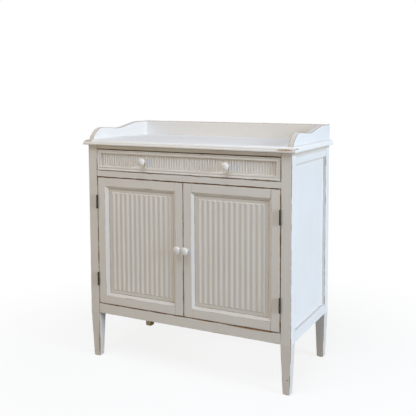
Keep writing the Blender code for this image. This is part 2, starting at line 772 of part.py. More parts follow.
def leaf(name, sign, side_of_axis, z, carrier, knuckles, host):
    """A leaf let into its host. knuckles gives the low and high end of each as shares of the hinge's length."""
    axis_x = sign * HINGE_X
    near = axis_x + side_of_axis * LEAF_GAP / 2
    far = near + side_of_axis * LEAF_THICKNESS
    left, right = sorted((near, far))
    base = z - HINGE_LENGTH / 2
    low = (left, FRONT, base)
    high = (right, FRONT + LEAF_WIDTH, base + HINGE_LENGTH)
    piece = board(name, low, high, DARK_STEEL, carrier)
    cut(box_cutter(name + "_mortise", low, high, TOUCH), host)
    for number, (start_share, end_share) in enumerate(knuckles):
        start = base + HINGE_LENGTH * start_share + TOUCH
        end = base + HINGE_LENGTH * end_share - TOUCH
        neck = box_cutter(
            f"{name}_neck_{number}",
            (left, HINGE_Y, start),
            (right, FRONT + OVERRUN, end),
        )
        join(piece, neck)
        barrel = round_cutter(
            f"{name}_barrel_{number}",
            KNUCKLE_RADIUS,
            end - start,
            (axis_x, HINGE_Y, (start + end) / 2),
        )
        join(piece, barrel)
    return piece


def hinge(side, sign, place, z, leg, stile):
    centre = (sign * HINGE_X, HINGE_Y, z)
    frame_knuckles = ((0, 1 / 3), (2 / 3, 1))
    fixed = leaf(f"{side}_{place}_hinge_frame_leaf", sign, sign, z, carcass, frame_knuckles, leg)
    pin = round_cutter(f"{side}_{place}_pin", PIN_RADIUS, HINGE_LENGTH - 3 * TOUCH, centre)
    join(fixed, pin)
    middle_knuckle = ((1 / 3, 2 / 3),)
    name = f"{side}_{place}_hinge_door_leaf"
    moving = leaf(name, sign, -sign, z, doors[side], middle_knuckle, stile)
    bore = round_cutter(f"{side}_{place}_pin_bore", PIN_RADIUS + TOUCH, HINGE_LENGTH, centre)
    cut(bore, moving)


# Doors: two stiles, two rails, a moulding that carries the frame's slope on, and a panel with a raised fluted field


def fluted_field(name, half_width, half_height):
    """The raised field, sloped on all four edges, with its ridges FIELD_RISE above the panel's face."""
    run = run_across(2 * half_width - FIELD_LAND, DOOR_FLUTE_PITCH, FLUTE_STEPS, flute_depth)
    root = FIELD_RISE + DOOR_PANEL_THICKNESS / 2
    outline = [(-half_width, FIELD_RISE)] + run + [(half_width, FIELD_RISE)]
    outline += [(half_width, root), (-half_width, root)]
    mesh = poly_outline(name, outline, half_height)
    lean = FIELD_LAND / FIELD_RISE
    for vert in mesh.vertices:
        vert.co.z -= math.copysign((FIELD_RISE - vert.co.y) * lean, vert.co.z)
    return mesh


def door(side, sign):
    carrier = doors[side]
    inner_edge = MEETING_GAP / 2
    outer_edge = DOOR_EDGE
    centre_x = sign * (inner_edge + outer_edge) / 2
    rear = FRONT + DOOR_THICKNESS

    def door_board(part, near, far, low_z, high_z, front=FRONT, back=rear, finish=PAINT):
        left, right = across(sign, near, far)
        return board(f"{side}_{part}", (left, front, low_z), (right, back, high_z), finish, carrier)

    hinge_stile = door_board("door_hinge_stile", outer_edge - STILE_WIDTH, outer_edge, DOOR_BASE, DOOR_TOP)
    meeting_stile = door_board(
        "door_meeting_stile", inner_edge, inner_edge + STILE_WIDTH, DOOR_BASE, DOOR_TOP
    )
    rail_near = inner_edge + STILE_WIDTH + TOUCH
    rail_far = outer_edge - STILE_WIDTH - TOUCH
    bottom_rail = door_board("door_bottom_rail", rail_near, rail_far, DOOR_BASE, DOOR_BASE + STILE_WIDTH)
    top_rail = door_board("door_top_rail", rail_near, rail_far, DOOR_TOP - STILE_WIDTH, DOOR_TOP)
    frame = (hinge_stile, meeting_stile, bottom_rail, top_rail)

    moulding_back = FRONT + BEVEL_DEPTH + MOULDING_FOOT
    moulding = door_board(
        "door_moulding",
        rail_near,
        rail_far,
        DOOR_BASE + STILE_WIDTH + TOUCH,
        DOOR_TOP - STILE_WIDTH - TOUCH,
        back=moulding_back,
    )
    foot = BEVEL_START + BEVEL_WIDTH
    half_width = (outer_edge - inner_edge) / 2 - foot
    low_z = DOOR_BASE + foot
    high_z = DOOR_TOP - foot
    sight = box_cutter(
        side + "_door_sight",
        (centre_x - half_width, FRONT - OVERRUN, low_z),
        (centre_x + half_width, moulding_back + OVERRUN, high_z),
    )
    cut(sight, moulding)
    name = side + "_door_slope"
    rate = BEVEL_WIDTH / BEVEL_DEPTH
    cut_slope(name, centre_x, half_width, low_z, high_z, rate, BEVEL_DEPTH, moulding, *frame)

    face = FRONT + DOOR_PANEL_FACE
    left, right = across(sign, inner_edge + STILE_WIDTH - TONGUE, outer_edge - STILE_WIDTH + TONGUE)
    low = (left, face, DOOR_BASE + STILE_WIDTH - TONGUE)
    high = (right, face + DOOR_PANEL_THICKNESS, DOOR_TOP - STILE_WIDTH + TONGUE)
    panel = board(side + "_door_panel", low, high, PAINT, carrier)
    cut(box_cutter(side + "_door_panel_groove", low, high, TOUCH), *frame)
    field_low = low_z + FIELD_BOTTOM_BORDER
    field_high = high_z - FIELD_TOP_BORDER
    name = side + "_door_field"
    mesh = fluted_field(name, half_width - FIELD_SIDE_BORDER, (field_high - field_low) / 2)
    place = (centre_x, face - FIELD_RISE, (field_low + field_high) / 2)
    join(panel, add_cutter(name, mesh, place))

    knob_x = sign * (inner_edge + DOOR_KNOB_INSET)
    knob(side + "_door_knob", knob_x, FRONT, KNOB_HEIGHT, carrier, meeting_stile)
    leg = legs["front", side]
    hinge(side, sign, "upper", DOOR_TOP - HINGE_INSET, leg, hinge_stile)
    hinge(side, sign, "lower", DOOR_BASE + HINGE_INSET, leg, hinge_stile)

    strike_near = inner_edge + STRIKE_INSET
    door_board(
        "door_strike",
        strike_near,
        strike_near + STRIKE_WIDTH,
        DOOR_TOP - STRIKE_INSET - STRIKE_HEIGHT,
        DOOR_TOP - STRIKE_INSET,
        rear + TOUCH,
        rear + TOUCH + STRIKE_THICKNESS,
        BRIGHT_STEEL,
    )


for side, sign in SIDES:
    door(side, sign)


# Magnetic catch under the middle rail, which holds both doors by their strikes

catch_front = FRONT + DOOR_THICKNESS + STRIKE_THICKNESS + 2 * TOUCH
board(
    "magnetic_catch",
    (-CATCH_WIDTH / 2, catch_front, MIDDLE_RAIL_BASE - TOUCH - CATCH_HEIGHT),
    (CATCH_WIDTH / 2, catch_front + CATCH_DEPTH, MIDDLE_RAIL_BASE - TOUCH),
    DARK_STEEL,
)
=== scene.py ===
import math

import bpy
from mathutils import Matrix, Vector


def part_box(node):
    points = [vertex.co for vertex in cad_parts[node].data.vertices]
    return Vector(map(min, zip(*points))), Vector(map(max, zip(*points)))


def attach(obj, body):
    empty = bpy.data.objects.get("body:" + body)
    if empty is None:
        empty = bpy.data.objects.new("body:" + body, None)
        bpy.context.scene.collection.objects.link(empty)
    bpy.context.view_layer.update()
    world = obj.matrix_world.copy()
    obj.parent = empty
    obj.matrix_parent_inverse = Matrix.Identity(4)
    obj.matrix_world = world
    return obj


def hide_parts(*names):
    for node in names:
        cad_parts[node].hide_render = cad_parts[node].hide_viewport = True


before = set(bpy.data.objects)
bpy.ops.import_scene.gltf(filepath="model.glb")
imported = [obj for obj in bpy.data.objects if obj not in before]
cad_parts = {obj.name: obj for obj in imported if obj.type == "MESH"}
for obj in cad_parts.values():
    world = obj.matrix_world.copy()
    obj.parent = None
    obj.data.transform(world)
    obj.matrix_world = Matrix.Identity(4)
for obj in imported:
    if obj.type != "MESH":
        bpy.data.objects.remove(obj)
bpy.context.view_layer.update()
bpy.ops.object.select_all(action="DESELECT")

# Both sides, with the sign of X there
SIDES = {"left": -1, "right": 1}
# The distance that touching pieces keep, and one too small to see
TOUCH = 0.0003
HAIR = 0.00001

# Planes and levels that several pieces share, from the frame
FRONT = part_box("front_left_leg")[0].y
TAPER_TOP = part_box("bottom_front_rail")[0].z
OPENING_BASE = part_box("bottom_front_rail")[1].z


# Shader sums

# A Mix node's sockets for its two colours
MIX_UNDER, MIX_OVER = 6, 7


class Flow:
    """One output of a node. Arithmetic on it adds Math nodes to its tree."""

    def __init__(self, tree, socket=None):
        self.tree = tree
        self.socket = socket

    def make(self, kind, inputs=None, output=0, **settings):
        """A node of any type: its settings first, then the values or links of its sockets."""
        node = self.tree.nodes.new("ShaderNode" + kind)
        for name, value in settings.items():
            setattr(node, name, value)
        for name, value in (inputs or {}).items():
            if isinstance(value, Flow):
                self.tree.links.new(value.socket, node.inputs[name])
            else:
                node.inputs[name].default_value = value
        return Flow(self.tree, node.outputs[output])

    def maths(self, operation, *values):
        return self.make("Math", dict(enumerate(values)), operation=operation)

    def vector(self, operation, *values, output=0):
        return self.make("VectorMath", dict(enumerate(values)), output, operation=operation)

    def __add__(self, other):
        return self.maths("ADD", self, other)

    __radd__ = __add__

    def __sub__(self, other):
        return self.maths("SUBTRACT", self, other)

    def __rsub__(self, other):
        return self.maths("SUBTRACT", other, self)

    def __mul__(self, other):
        return self.maths("MULTIPLY", self, other)

    __rmul__ = __mul__

    def __truediv__(self, other):
        return self.maths("DIVIDE", self, other)

    def __abs__(self):
        return self.maths("ABSOLUTE", self)

    def least(self, other):
        return self.maths("MINIMUM", self, other)

    def most(self, other):
        return self.maths("MAXIMUM", self, other)

    def ramp(self, low, high):
        """Smoothly from 0 at low to 1 at high, or the other way where low is the larger."""
        if low > high:
            return 1 - self.ramp(high, low)
        ends = {"Value": self, "From Min": low, "From Max": high}
        return self.make("MapRange", ends, interpolation_type="SMOOTHSTEP")

    def blend(self, under, over):
        """The colour under where this is 0, and over where it is 1."""
        colours = {"Factor": self, MIX_UNDER: under, MIX_OVER: over}
        return self.make("Mix", colours, output=2, data_type="RGBA")

    def parts(self):
        """A vector's three numbers."""
        return [self.make("SeparateXYZ", {0: self}, output=number) for number in range(3)]

    def attribute(self, name, output=2):
        """A mesh's attribute of that name: a number, or with output 1 a vector."""
        return self.make("Attribute", attribute_name=name, output=output)

    def noise(self, stretch, detail=3.0, roughness=0.55, offset=(0, 0, 0)):
        """Noise from 0 to 1 on this place, with features per metre along each axis."""
        place = self.make("Mapping", {"Vector": self, "Scale": stretch, "Location": offset})
        sizes = {"Vector": place, "Scale": 1.0, "Detail": detail, "Roughness": roughness}
        return self.make("TexNoise", sizes)


def new_material(name, roughness=0.5, metallic=0.0):
    """A material, its Principled shader and the place on the object as a Flow that adds nodes to it."""
    material = bpy.data.materials.new(name)
    material.use_nodes = True
    shader = material.node_tree.nodes["Principled BSDF"]
    shader.inputs["Roughness"].default_value = roughness
    shader.inputs["Metallic"].default_value = metallic
    return material, shader, Flow(material.node_tree).make("TexCoord", output=3)


def feed(flow, socket):
    """Links a flow to a shader's socket."""
    flow.tree.links.new(flow.socket, socket)


def coat(shader, colours, roughness, height, strength, relief):
    """Gives a shader its colour, its roughness and bumps of that height times the relief in metres."""
    feed(colours, shader.inputs["Base Color"])
    feed(roughness, shader.inputs["Roughness"])
    bump = height.make("Bump", {"Height": height, "Strength": strength, "Distance": relief})
    feed(bump, shader.inputs["Normal"])


def colour(red, green, blue):
    """An opaque colour."""
    return (red, green, blue, 1)


# Finishes

PAINT = colour(0.80, 0.775, 0.74)
PAINT_SHADE = colour(0.74, 0.70, 0.64)
# A lighter copy of the paint for the top board, painting in more light than the lamps give it
TOP_PAINT = colour(0.885, 0.86, 0.825)
TOP_SHADE = colour(0.83, 0.80, 0.75)
GALLERY_PAINT = colour(0.80, 0.775, 0.74)
GALLERY_SHADE = colour(0.74, 0.71, 0.665)
# A lighter copy of the paint for the drawer front, painting in more light
DRAWER_PAINT = colour(0.845, 0.82, 0.785)
DRAWER_SHADE = colour(0.79, 0.76, 0.71)
# The dark brown for stains and grime, which also paints shade where a piece asks for it
GRIME_AND_SHADE = colour(0.42, 0.33, 0.23)
WORN_WOOD = colour(0.33, 0.19, 0.095)
# Bare wood brown for faces in gaps, which on the back legs' tapers also paints their shade
RAW_EDGE_AND_SHADE = colour(0.37, 0.205, 0.09)
RUBBED_PAINT = colour(0.46, 0.31, 0.20)
# A lighter copy of the paint for the knobs, painting in more light
KNOB_PAINT = colour(0.90, 0.88, 0.85)
KNOB_SHADE = colour(0.84, 0.81, 0.77)

# Places where the paint is rubbed thin: middle and reach
RUBBED = (
    ((0.4090, -0.2040, 0.8708), (0.038, 0.007, 0.0038)),
    ((0.4465, -0.1850, 0.8740), (0.007, 0.022, 0.0026)),
    ((-0.4235, -0.2015, 0.8775), (0.018, 0.007, 0.0034)),
    ((0.3400, -0.1920, 0.8462), (0.055, 0.008, 0.0022)),
    ((0.1150, -0.1920, 0.8462), (0.045, 0.008, 0.0020)),
    ((0.3905, -0.1920, 0.8050), (0.0020, 0.008, 0.038)),
    ((0.3905, -0.1920, 0.3600), (0.0020, 0.008, 0.060)),
    ((0.2720, -0.1920, 0.2235), (0.105, 0.010, 0.0034)),
    ((0.4150, -0.1870, 0.0580), (0.0050, 0.010, 0.0032)),
    ((-0.3975, -0.1870, 0.0550), (0.0035, 0.006, 0.055)),
)


def rubbed_places(place, ragged):
    """How near a place is to one of the rubbed ones, with a ragged rim."""
    total = None
    for middle, reach in RUBBED:
        offset = place.vector("SUBTRACT", place, middle)
        scaled = place.vector("DIVIDE", offset, reach)
        distance = place.vector("LENGTH", scaled, output=1) + ragged
        near = distance.ramp(1.05, 0.75)
        total = near if total is None else total.most(near)
    return total


# Features per metre of the paint's marks, along X, Y and Z or else across the brush strokes and along them
CLOUDS = (5, 5, 5)
CHIPS = (210, 210, 210)
BRISTLES = (620, 14)
STROKES = (160, 5)
RUBS = (75, 16)

# How far in from an edge or from a door's rim the paint wears
EDGE_REACH = 0.0045
RIM_REACH = 0.0024
RIM_BAND = 0.002

# From where to where on the scale of wear paint is stained and gone, and where chips and rubs make specks
STAINED = (0.55, 0.69)
BARE = (0.66, 0.72)
SPECK_CHIPS = (0.735, 0.765)
SPECK_RUBS = (0.5, 0.62)

PAINT_SHEEN = 0.16
BRUSH_RELIEF = 0.0006


def brushed_sizes(axis, sizes):
    """Features per metre along X, Y and Z of marks that run along one axis."""
    across, along = sizes
    return tuple(along if number == axis else across for number in range(3))


def edge_distance(place):
    """Distance to the nearest edge of the piece's box: the middle one of the three to its faces."""
    inward = place.vector("ABSOLUTE", place.vector("SUBTRACT", place, place.attribute("middle", 1)))
    x, y, z = place.vector("SUBTRACT", place.attribute("reach", 1), inward).parts()
    return x.least(y).most(x.most(y).least(z))


def rim_distance(place):
    """Distance to the rectangle in the front plane where a door's frame starts to slope."""
    inward = place.vector("ABSOLUTE", place.vector("SUBTRACT", place, place.attribute("rim_middle", 1)))
    x, y, z = place.vector("SUBTRACT", inward, place.attribute("rim_reach", 1)).parts()
    return abs(x.most(z)).most(abs(y) - RIM_BAND)


def painted(name, axis, wear=1.0, base=PAINT, shade=PAINT_SHADE, roughness=0.55, streaks=1.0):
    """Off-white paint, brushed along one axis of the board and rubbed through at its edges.

    The mesh's own attributes say where: middle and reach of the box whose edges are rubbed, rim_middle
    and rim_reach of a rectangle in the front plane, faces in gaps, which on back legs are partly painted
    shade, crease for how far in from its box's edges a face is darkened, and faces darkened all over, by
    grime and painted shade.
    """
    material, shader, place = new_material(name)
    shader.inputs["Specular IOR Level"].default_value = PAINT_SHEEN
    cloud = place.noise(CLOUDS, detail=2.0)
    brushed = place.noise(brushed_sizes(axis, BRISTLES), detail=2.0)
    strokes = place.noise(brushed_sizes(axis, STROKES), detail=3.0, offset=(3.1, 1.7, 5.3))
    rubs = place.noise(brushed_sizes(axis, RUBS), detail=5.0, roughness=0.62, offset=(7.7, 2.9, 4.1))
    chips = place.noise(CHIPS, detail=3.0, roughness=0.6, offset=(1.3, 8.1, 6.7))
    edge = edge_distance(place)
    rim = rim_distance(place)
    raw_and_shade, crease, soil_and_shade = (place.attribute(mark) for mark in ("raw_and_shade", "crease", "soil_and_shade"))

    # Wear, from 0 for sound paint upwards, and the bare and stained places that it leads to
    near_edge = edge.ramp(EDGE_REACH, 0.0).most(rim.ramp(RIM_REACH, 0.0) * 0.8)
    spot = rubbed_places(place, 1.6 * chips - 0.8)
    thin = near_edge * 0.30 * wear + spot * 0.14 + rubs * 0.62 + chips * 0.18
    specks = chips.ramp(*SPECK_CHIPS) * rubs.ramp(*SPECK_RUBS)
    bare = thin.ramp(*BARE).most(specks * 0.7)
    stained = thin.ramp(*STAINED)
    # Faces in a gap in the brown of bare wood, which on the back legs' tapers is partly painted shade
    open_and_shaded_face = (raw_and_shade * (0.72 + 0.5 * rubs)).least(1.0)

    # Grime and painted shade, darkest at the edges of the box where a crease is given, and on faces darkened
    # all over
    dirt_and_shade = ((crease - edge) / (crease + HAIR)).most(0.0) * (0.6 + 0.8 * rubs)
    dirt_and_shade = dirt_and_shade.most(soil_and_shade * (0.25 + 0.9 * rubs)).least(1.0)

    tint = strokes.ramp(0.25, 0.8) * (0.35 * streaks) + cloud.ramp(0.3, 0.75) * 0.25
    colours = tint.blend(base, shade)
    colours = (stained * (0.25 + 0.2 * streaks)).most(dirt_and_shade).blend(colours, GRIME_AND_SHADE)
    colours = (spot * (0.55 + 0.6 * strokes)).least(1.0).blend(colours, RUBBED_PAINT)
    colours = bare.blend(colours, WORN_WOOD)
    colours = open_and_shaded_face.blend(colours, RAW_EDGE_AND_SHADE)
    roughness = roughness + 0.16 * brushed + 0.25 * bare.most(open_and_shaded_face)
    height = brushed * 0.10 + strokes * (0.22 * streaks) - bare * 0.5
    coat(shader, colours, roughness, height, 0.5, BRUSH_RELIEF)
    return material


BARE_LIGHT = colour(0.60, 0.45, 0.29)
BARE_DARK = colour(0.40, 0.27, 0.155)
YEAR_RINGS = 38
# Features per metre of the wood's figure and of its pores, across the grain and along it
FIGURE = (26, 1.2)
PORES = (700, 9)
PORE_RELIEF = 0.0004


def bare_wood(name, axis):
    """Unpainted softwood or plywood with its grain along one axis."""
    material, shader, place = new_material(name, roughness=0.62)
    swirl = place.noise(brushed_sizes(axis, FIGURE), detail=3.0, roughness=0.5)
    turns = swirl * YEAR_RINGS
    rings = turns.maths("SINE", turns) * 0.5 + 0.5
    pores = place.noise(brushed_sizes(axis, PORES), detail=2.0)
    mask = rings.ramp(0.15, 0.95) * 0.55 + pores.ramp(0.35, 0.75) * 0.35
    coat(shader, mask.blend(BARE_LIGHT, BARE_DARK), 0.55 + 0.2 * pores, pores, 0.35, PORE_RELIEF)
    return material


METAL_PATCHES = (130, 130, 130)
METAL_SCRATCHES = (900, 900, 60)
METAL_RELIEF = 0.0003


def aged_metal(name, base, worn, metallic, roughness):
    """Metal with a patchy finish."""
    material, shader, place = new_material(name, roughness, metallic)
    patches = place.noise(METAL_PATCHES, detail=5.0, roughness=0.65)
    scratches = place.noise(METAL_SCRATCHES, detail=2.0)
    colours = patches.ramp(0.45, 0.7).blend(base, worn)
    roughness = roughness + 0.2 * patches + 0.1 * scratches
    coat(shader, colours, roughness, scratches + patches, 0.3, METAL_RELIEF)
    return material


PLASTIC_GRAIN = (1400, 1400, 1400)
PLASTIC_DUST = (90, 90, 90)
PLASTIC_RELIEF = 0.0002
DUST = colour(0.22, 0.20, 0.18)


def moulded_plastic(name, base):
    """Dull plastic with a fine grain and a little dust."""
    material, shader, place = new_material(name)
    grain = place.noise(PLASTIC_GRAIN, detail=2.0)
    dust = place.noise(PLASTIC_DUST, detail=3.0).ramp(0.5, 0.8)
    coat(shader, (dust * 0.25).blend(base, DUST), 0.4 + 0.2 * grain, grain, 0.25, PLASTIC_RELIEF)
    return material


ACROSS, DEEP, UPRIGHT = 0, 1, 2
paint = {axis: painted("paint_along_" + "xyz"[axis], axis) for axis in (ACROSS, DEEP, UPRIGHT)}
# The top's, the drawer front's and the knobs' paint are lighter copies, which paint light onto them
top_paint = painted("top_paint", ACROSS, 0.55, TOP_PAINT, TOP_SHADE)
gallery_paint = painted("gallery_paint", DEEP, 1.0, GALLERY_PAINT, GALLERY_SHADE, streaks=0.4)
drawer_paint = painted("drawer_paint", UPRIGHT, 0.8, DRAWER_PAINT, DRAWER_SHADE, streaks=0.2)
knob_paint = painted("knob_paint", DEEP, 0.5, KNOB_PAINT, KNOB_SHADE, 0.62)
wood = {axis: bare_wood("wood_along_" + "xyz"[axis], axis) for axis in (ACROSS, DEEP, UPRIGHT)}
dark_steel = aged_metal("aged_dark_steel", colour(0.040, 0.029, 0.014), colour(0.12, 0.078, 0.030), 0.6, 0.5)
bright_steel = aged_metal("zinc_plate", colour(0.62, 0.61, 0.58), colour(0.45, 0.44, 0.42), 1.0, 0.28)
glide_plastic = moulded_plastic("glide_plastic", colour(0.025, 0.025, 0.025))
catch_plastic = moulded_plastic("catch_plastic", colour(0.10, 0.065, 0.04))


# Modelling


def active(piece):
    """Selects one piece and makes it the active one."""
    bpy.ops.object.select_all(action="DESELECT")
    piece.select_set(True)
    bpy.context.view_layer.objects.active = piece


def settle(piece):
    """Puts a piece's place, turn and size into its mesh."""
    active(piece)
    bpy.ops.object.transform_apply(location=True, rotation=True, scale=True)
    return piece


def block(name, low, high):
    """A cube primitive between two corners, as the start of a board."""
    low, high = Vector(low), Vector(high)
    bpy.ops.mesh.primitive_cube_add(size=1, location=(low + high) / 2)
    piece = bpy.context.object
    piece.name = name
    piece.scale = high - low
    return settle(piece)


def open_all(piece):
    """Opens a piece in edit mode with everything selected."""
    active(piece)
    bpy.ops.object.mode_set(mode="EDIT")
    bpy.ops.mesh.select_all(action="SELECT")


def close_up():
    """Turns every face outwards and leaves edit mode."""
    bpy.ops.mesh.select_all(action="SELECT")
    bpy.ops.mesh.normals_make_consistent(inside=False)
    bpy.ops.object.mode_set(mode="OBJECT")


def cut_across(piece, level):
    """Rings a piece with new points at a level."""
    open_all(piece)
    bpy.ops.mesh.bisect(plane_co=(0, 0, level), plane_no=(0, 0, 1))
    bpy.ops.object.mode_set(mode="OBJECT")


def edit_points(piece, chosen):
    """Opens a piece in edit mode with just the points selected that pass a test."""
    active(piece)
    bpy.ops.object.mode_set(mode="EDIT")
    bpy.ops.mesh.select_all(action="DESELECT")
    bpy.ops.object.mode_set(mode="OBJECT")
    for vertex in piece.data.vertices:
        vertex.select = chosen(vertex.co)
    bpy.ops.object.mode_set(mode="EDIT")


def apply_modifier(piece, modifier):
    """Works a modifier into its piece's mesh."""
    active(piece)
    bpy.ops.object.modifier_apply(modifier=modifier.name)


def ease(piece, width, segments=3, angle=30, harden=True):
    """Rounds the sharp edges of a piece and keeps its flats flat."""
    active(piece)
    bpy.ops.object.shade_smooth()
    modifier = piece.modifiers.new("eased", "BEVEL")
    modifier.width = width
    modifier.segments = segments
    modifier.limit_method = "ANGLE"
    modifier.angle_limit = math.radians(angle)
    modifier.harden_normals = harden
    apply_modifier(piece, modifier)
    return piece


def combine(piece, tool, operation="DIFFERENCE"):
    """Cuts or joins a piece with a tool shape, which is used up."""
    modifier = piece.modifiers.new("shaped", "BOOLEAN")
    modifier.operation = operation
    modifier.solver = "EXACT"
    modifier.object = tool
    apply_modifier(piece, modifier)
    mesh = tool.data
    bpy.data.objects.remove(tool)
    bpy.data.meshes.remove(mesh)


def merge(piece):
    """Joins doubled points and turns every face outwards."""
    open_all(piece)
    bpy.ops.mesh.remove_doubles(threshold=HAIR)
    close_up()


def smooth(piece, degrees=35):
    """Shades a piece smooth, but for the edges that turn more than an angle."""
    active(piece)
    bpy.ops.object.shade_smooth_by_angle(angle=math.radians(degrees))


def attribute(piece, name, kind, domain):
    """A mesh's attribute, made anew."""
    if name in piece.data.attributes:
        piece.data.attributes.remove(piece.data.attributes[name])
    return piece.data.attributes.new(name, kind, domain)


def write_points(piece, name, value_at):
    """A vector attribute on a mesh's points."""
    layer = attribute(piece, name, "FLOAT_VECTOR", "POINT")
    for item, vertex in zip(layer.data, piece.data.vertices):
        item.vector = value_at(vertex.co)


def write_faces(piece, name, value_at):
    """A number on each of a mesh's faces."""
    layer = attribute(piece, name, "FLOAT", "FACE")
    for item, face in zip(layer.data, piece.data.polygons):
        item.value = value_at(face)


# The least part of a face's direction along an axis, for a face that is flat that way or turned to it
FLAT = 0.98
TURNED = 0.6
# Levels below and above everything, and a distance beyond every piece
BELOW, ABOVE = -1.0, 2.0
FAR = 1


def mark_box(piece, low, high, open_ends=()):
    """Says which box's edges are rubbed. An axis in open_ends has its ends butted against other pieces."""
    middle = (Vector(low) + Vector(high)) / 2
    reach = (Vector(high) - Vector(low)) / 2
    for axis in open_ends:
        reach[axis] += FAR
    write_points(piece, "middle", lambda place: middle)
    write_points(piece, "reach", lambda place: reach)


def mark_raw_and_shade(piece, directions, levels=(BELOW, ABOVE), least=FLAT):
    """Marks faces between two levels turned one of the ways as bare wood in a gap; on back legs partly
    painted shade.
    """
    low, high = levels

    def value_at(face):
        turned_in = any(face.normal.dot(Vector(direction)) > least for direction in directions)
        return 1.0 if turned_in and low < face.center.z < high else 0.0

    write_faces(piece, "raw_and_shade", value_at)


def mark_crease(piece, reach):
    """Says how far in from the edges of its box a piece is darkened by grime and painted shade."""
    write_faces(piece, "crease", lambda face: reach)


def dress(piece, material, slot, body, *nodes):
    """Gives a piece its finish, the body it moves with and the nodes it stands for."""
    piece.data.materials.clear()
    piece.data.materials.append(material)
    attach(piece, body)
    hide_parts(*nodes)


BOARD_ROUNDING = 0.0011
THIN_ROUNDING = 0.0005


def painted_board(node, body, axis, open_ends=(), raw_and_shade=(), width=BOARD_ROUNDING):
    """A planed board in place of a box-shaped node."""
    low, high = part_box(node)
    piece = block("painted_" + node, low, high)
    ease(piece, width)
    mark_box(piece, low, high, open_ends)
    mark_raw_and_shade(piece, raw_and_shade)
    dress(piece, paint[axis], "cream_paint", body, node)
    return piece


# Legs

FOOT_SIZE = 0.0265
LEG_ROUNDING = 0.0013
# Height of the strip on a leg's sides under the top board that is painted in shadow
EAVES = 0.0115
# How much darker a taper is, at front and back and at the sides, and the painted shadow under the top board
TAPER_DARKENING = 0.14
TAPER_SIDE_DARKENING = 0.34
LEG_EAVES_SHADE = 1.0


def leg_darkening(face, top):
    """Darker on a leg's taper, most at the sides, and painted shadow on its sides just under the top board.
    """
    sideways = abs(face.normal.x) > 0.5
    if face.center.z < TAPER_TOP:
        return TAPER_SIDE_DARKENING if sideways else TAPER_DARKENING
    return LEG_EAVES_SHADE if sideways and face.center.z > top - EAVES else 0.0


def leg(node, inner):
    """A square post that tapers below the rails. inner is the direction of its face towards the openings."""
    low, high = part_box(node)
    piece = block("painted_" + node, low, high)
    cut_across(piece, TAPER_TOP)
    cut_across(piece, high.z - EAVES)
    edit_points(piece, lambda place: place.z < low.z + TOUCH)
    middle = (low + high) / 2
    share = FOOT_SIZE / (high.x - low.x)
    bpy.ops.transform.resize(value=(share, share, 1), center_override=(middle.x, middle.y, low.z))
    bpy.ops.object.mode_set(mode="OBJECT")
    ease(piece, LEG_ROUNDING)
    half = (high - low) / 2

    def reach_at(place):
        down = max(0.0, (TAPER_TOP - place.z) / (TAPER_TOP - low.z))
        narrowed = 1 - down * (1 - share)
        return (half.x * narrowed, half.y * narrowed, half.z)

    write_points(piece, "middle", lambda place: middle)
    write_points(piece, "reach", reach_at)
    # A front leg's inner face is brown in the gaps by doors and drawer; a back leg's on its taper, partly as
    # painted shade
    if "front" in node:
        mark_raw_and_shade(piece, (inner,), (OPENING_BASE, ABOVE))
    else:
        mark_raw_and_shade(piece, (inner,), (BELOW, TAPER_TOP), 0.5)
    write_faces(piece, "soil_and_shade", lambda face: leg_darkening(face, high.z))
    dress(piece, paint[UPRIGHT], "cream_paint", "carcass", node)


for side, sign in SIDES.items():
    for end in ("front", "back"):
        leg(f"{end}_{side}_leg", (-sign, 0, 0))


# Rails and side panels

UP, DOWN = (0, 0, 1), (0, 0, -1)
# Reach of painted shade under the top board, at the front and at the sides, and of grime and shade under a
# side's top rail
TOP_RAIL_SHADE = 0.004
EAVES_SHADE = 0.023
RECESS_DIRT_AND_SHADE = 0.011


def front_rails():
    """The rails over, between and under drawer and doors. The first one is painted in shade under the top
    board.
    """
    rail = painted_board("top_front_rail", "carcass", ACROSS)
    low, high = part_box("top_front_rail")
    mark_box(rail, low - Vector((FAR, 0, FAR)), high + Vector((FAR, FAR, 0)))
    mark_crease(rail, TOP_RAIL_SHADE)
    mark_raw_and_shade(rail, (DOWN,), least=TURNED)
    painted_board("middle_front_rail", "carcass", ACROSS, (ACROSS,), (DOWN,), THIN_ROUNDING)
    painted_board("bottom_front_rail", "carcass", ACROSS, (ACROSS,), (UP,))


def side_frame(side):
    """Two rails and the panel that lies back between them: painted shadow along the rail's top, grime and
    shade along the panel's.
    """
    rail = painted_board(side + "_side_top_rail", "carcass", DEEP)
    low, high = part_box(side + "_side_top_rail")
    mark_box(rail, low - Vector((0, FAR, FAR)), high + Vector((0, FAR, 0)))
    mark_crease(rail, EAVES_SHADE)
    painted_board(side + "_side_bottom_rail", "carcass", DEEP, (DEEP, UPRIGHT))
    panel = painted_board(side + "_side_panel", "carcass", UPRIGHT)
    face = max(abs(corner.x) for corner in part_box(side + "_side_panel")) * SIDES[side]
    mark_box(panel, (face, -FAR, -FAR), (face, FAR, low.z))
    mark_crease(panel, RECESS_DIRT_AND_SHADE)


front_rails()
for side in SIDES:
    side_frame(side)


# Top board


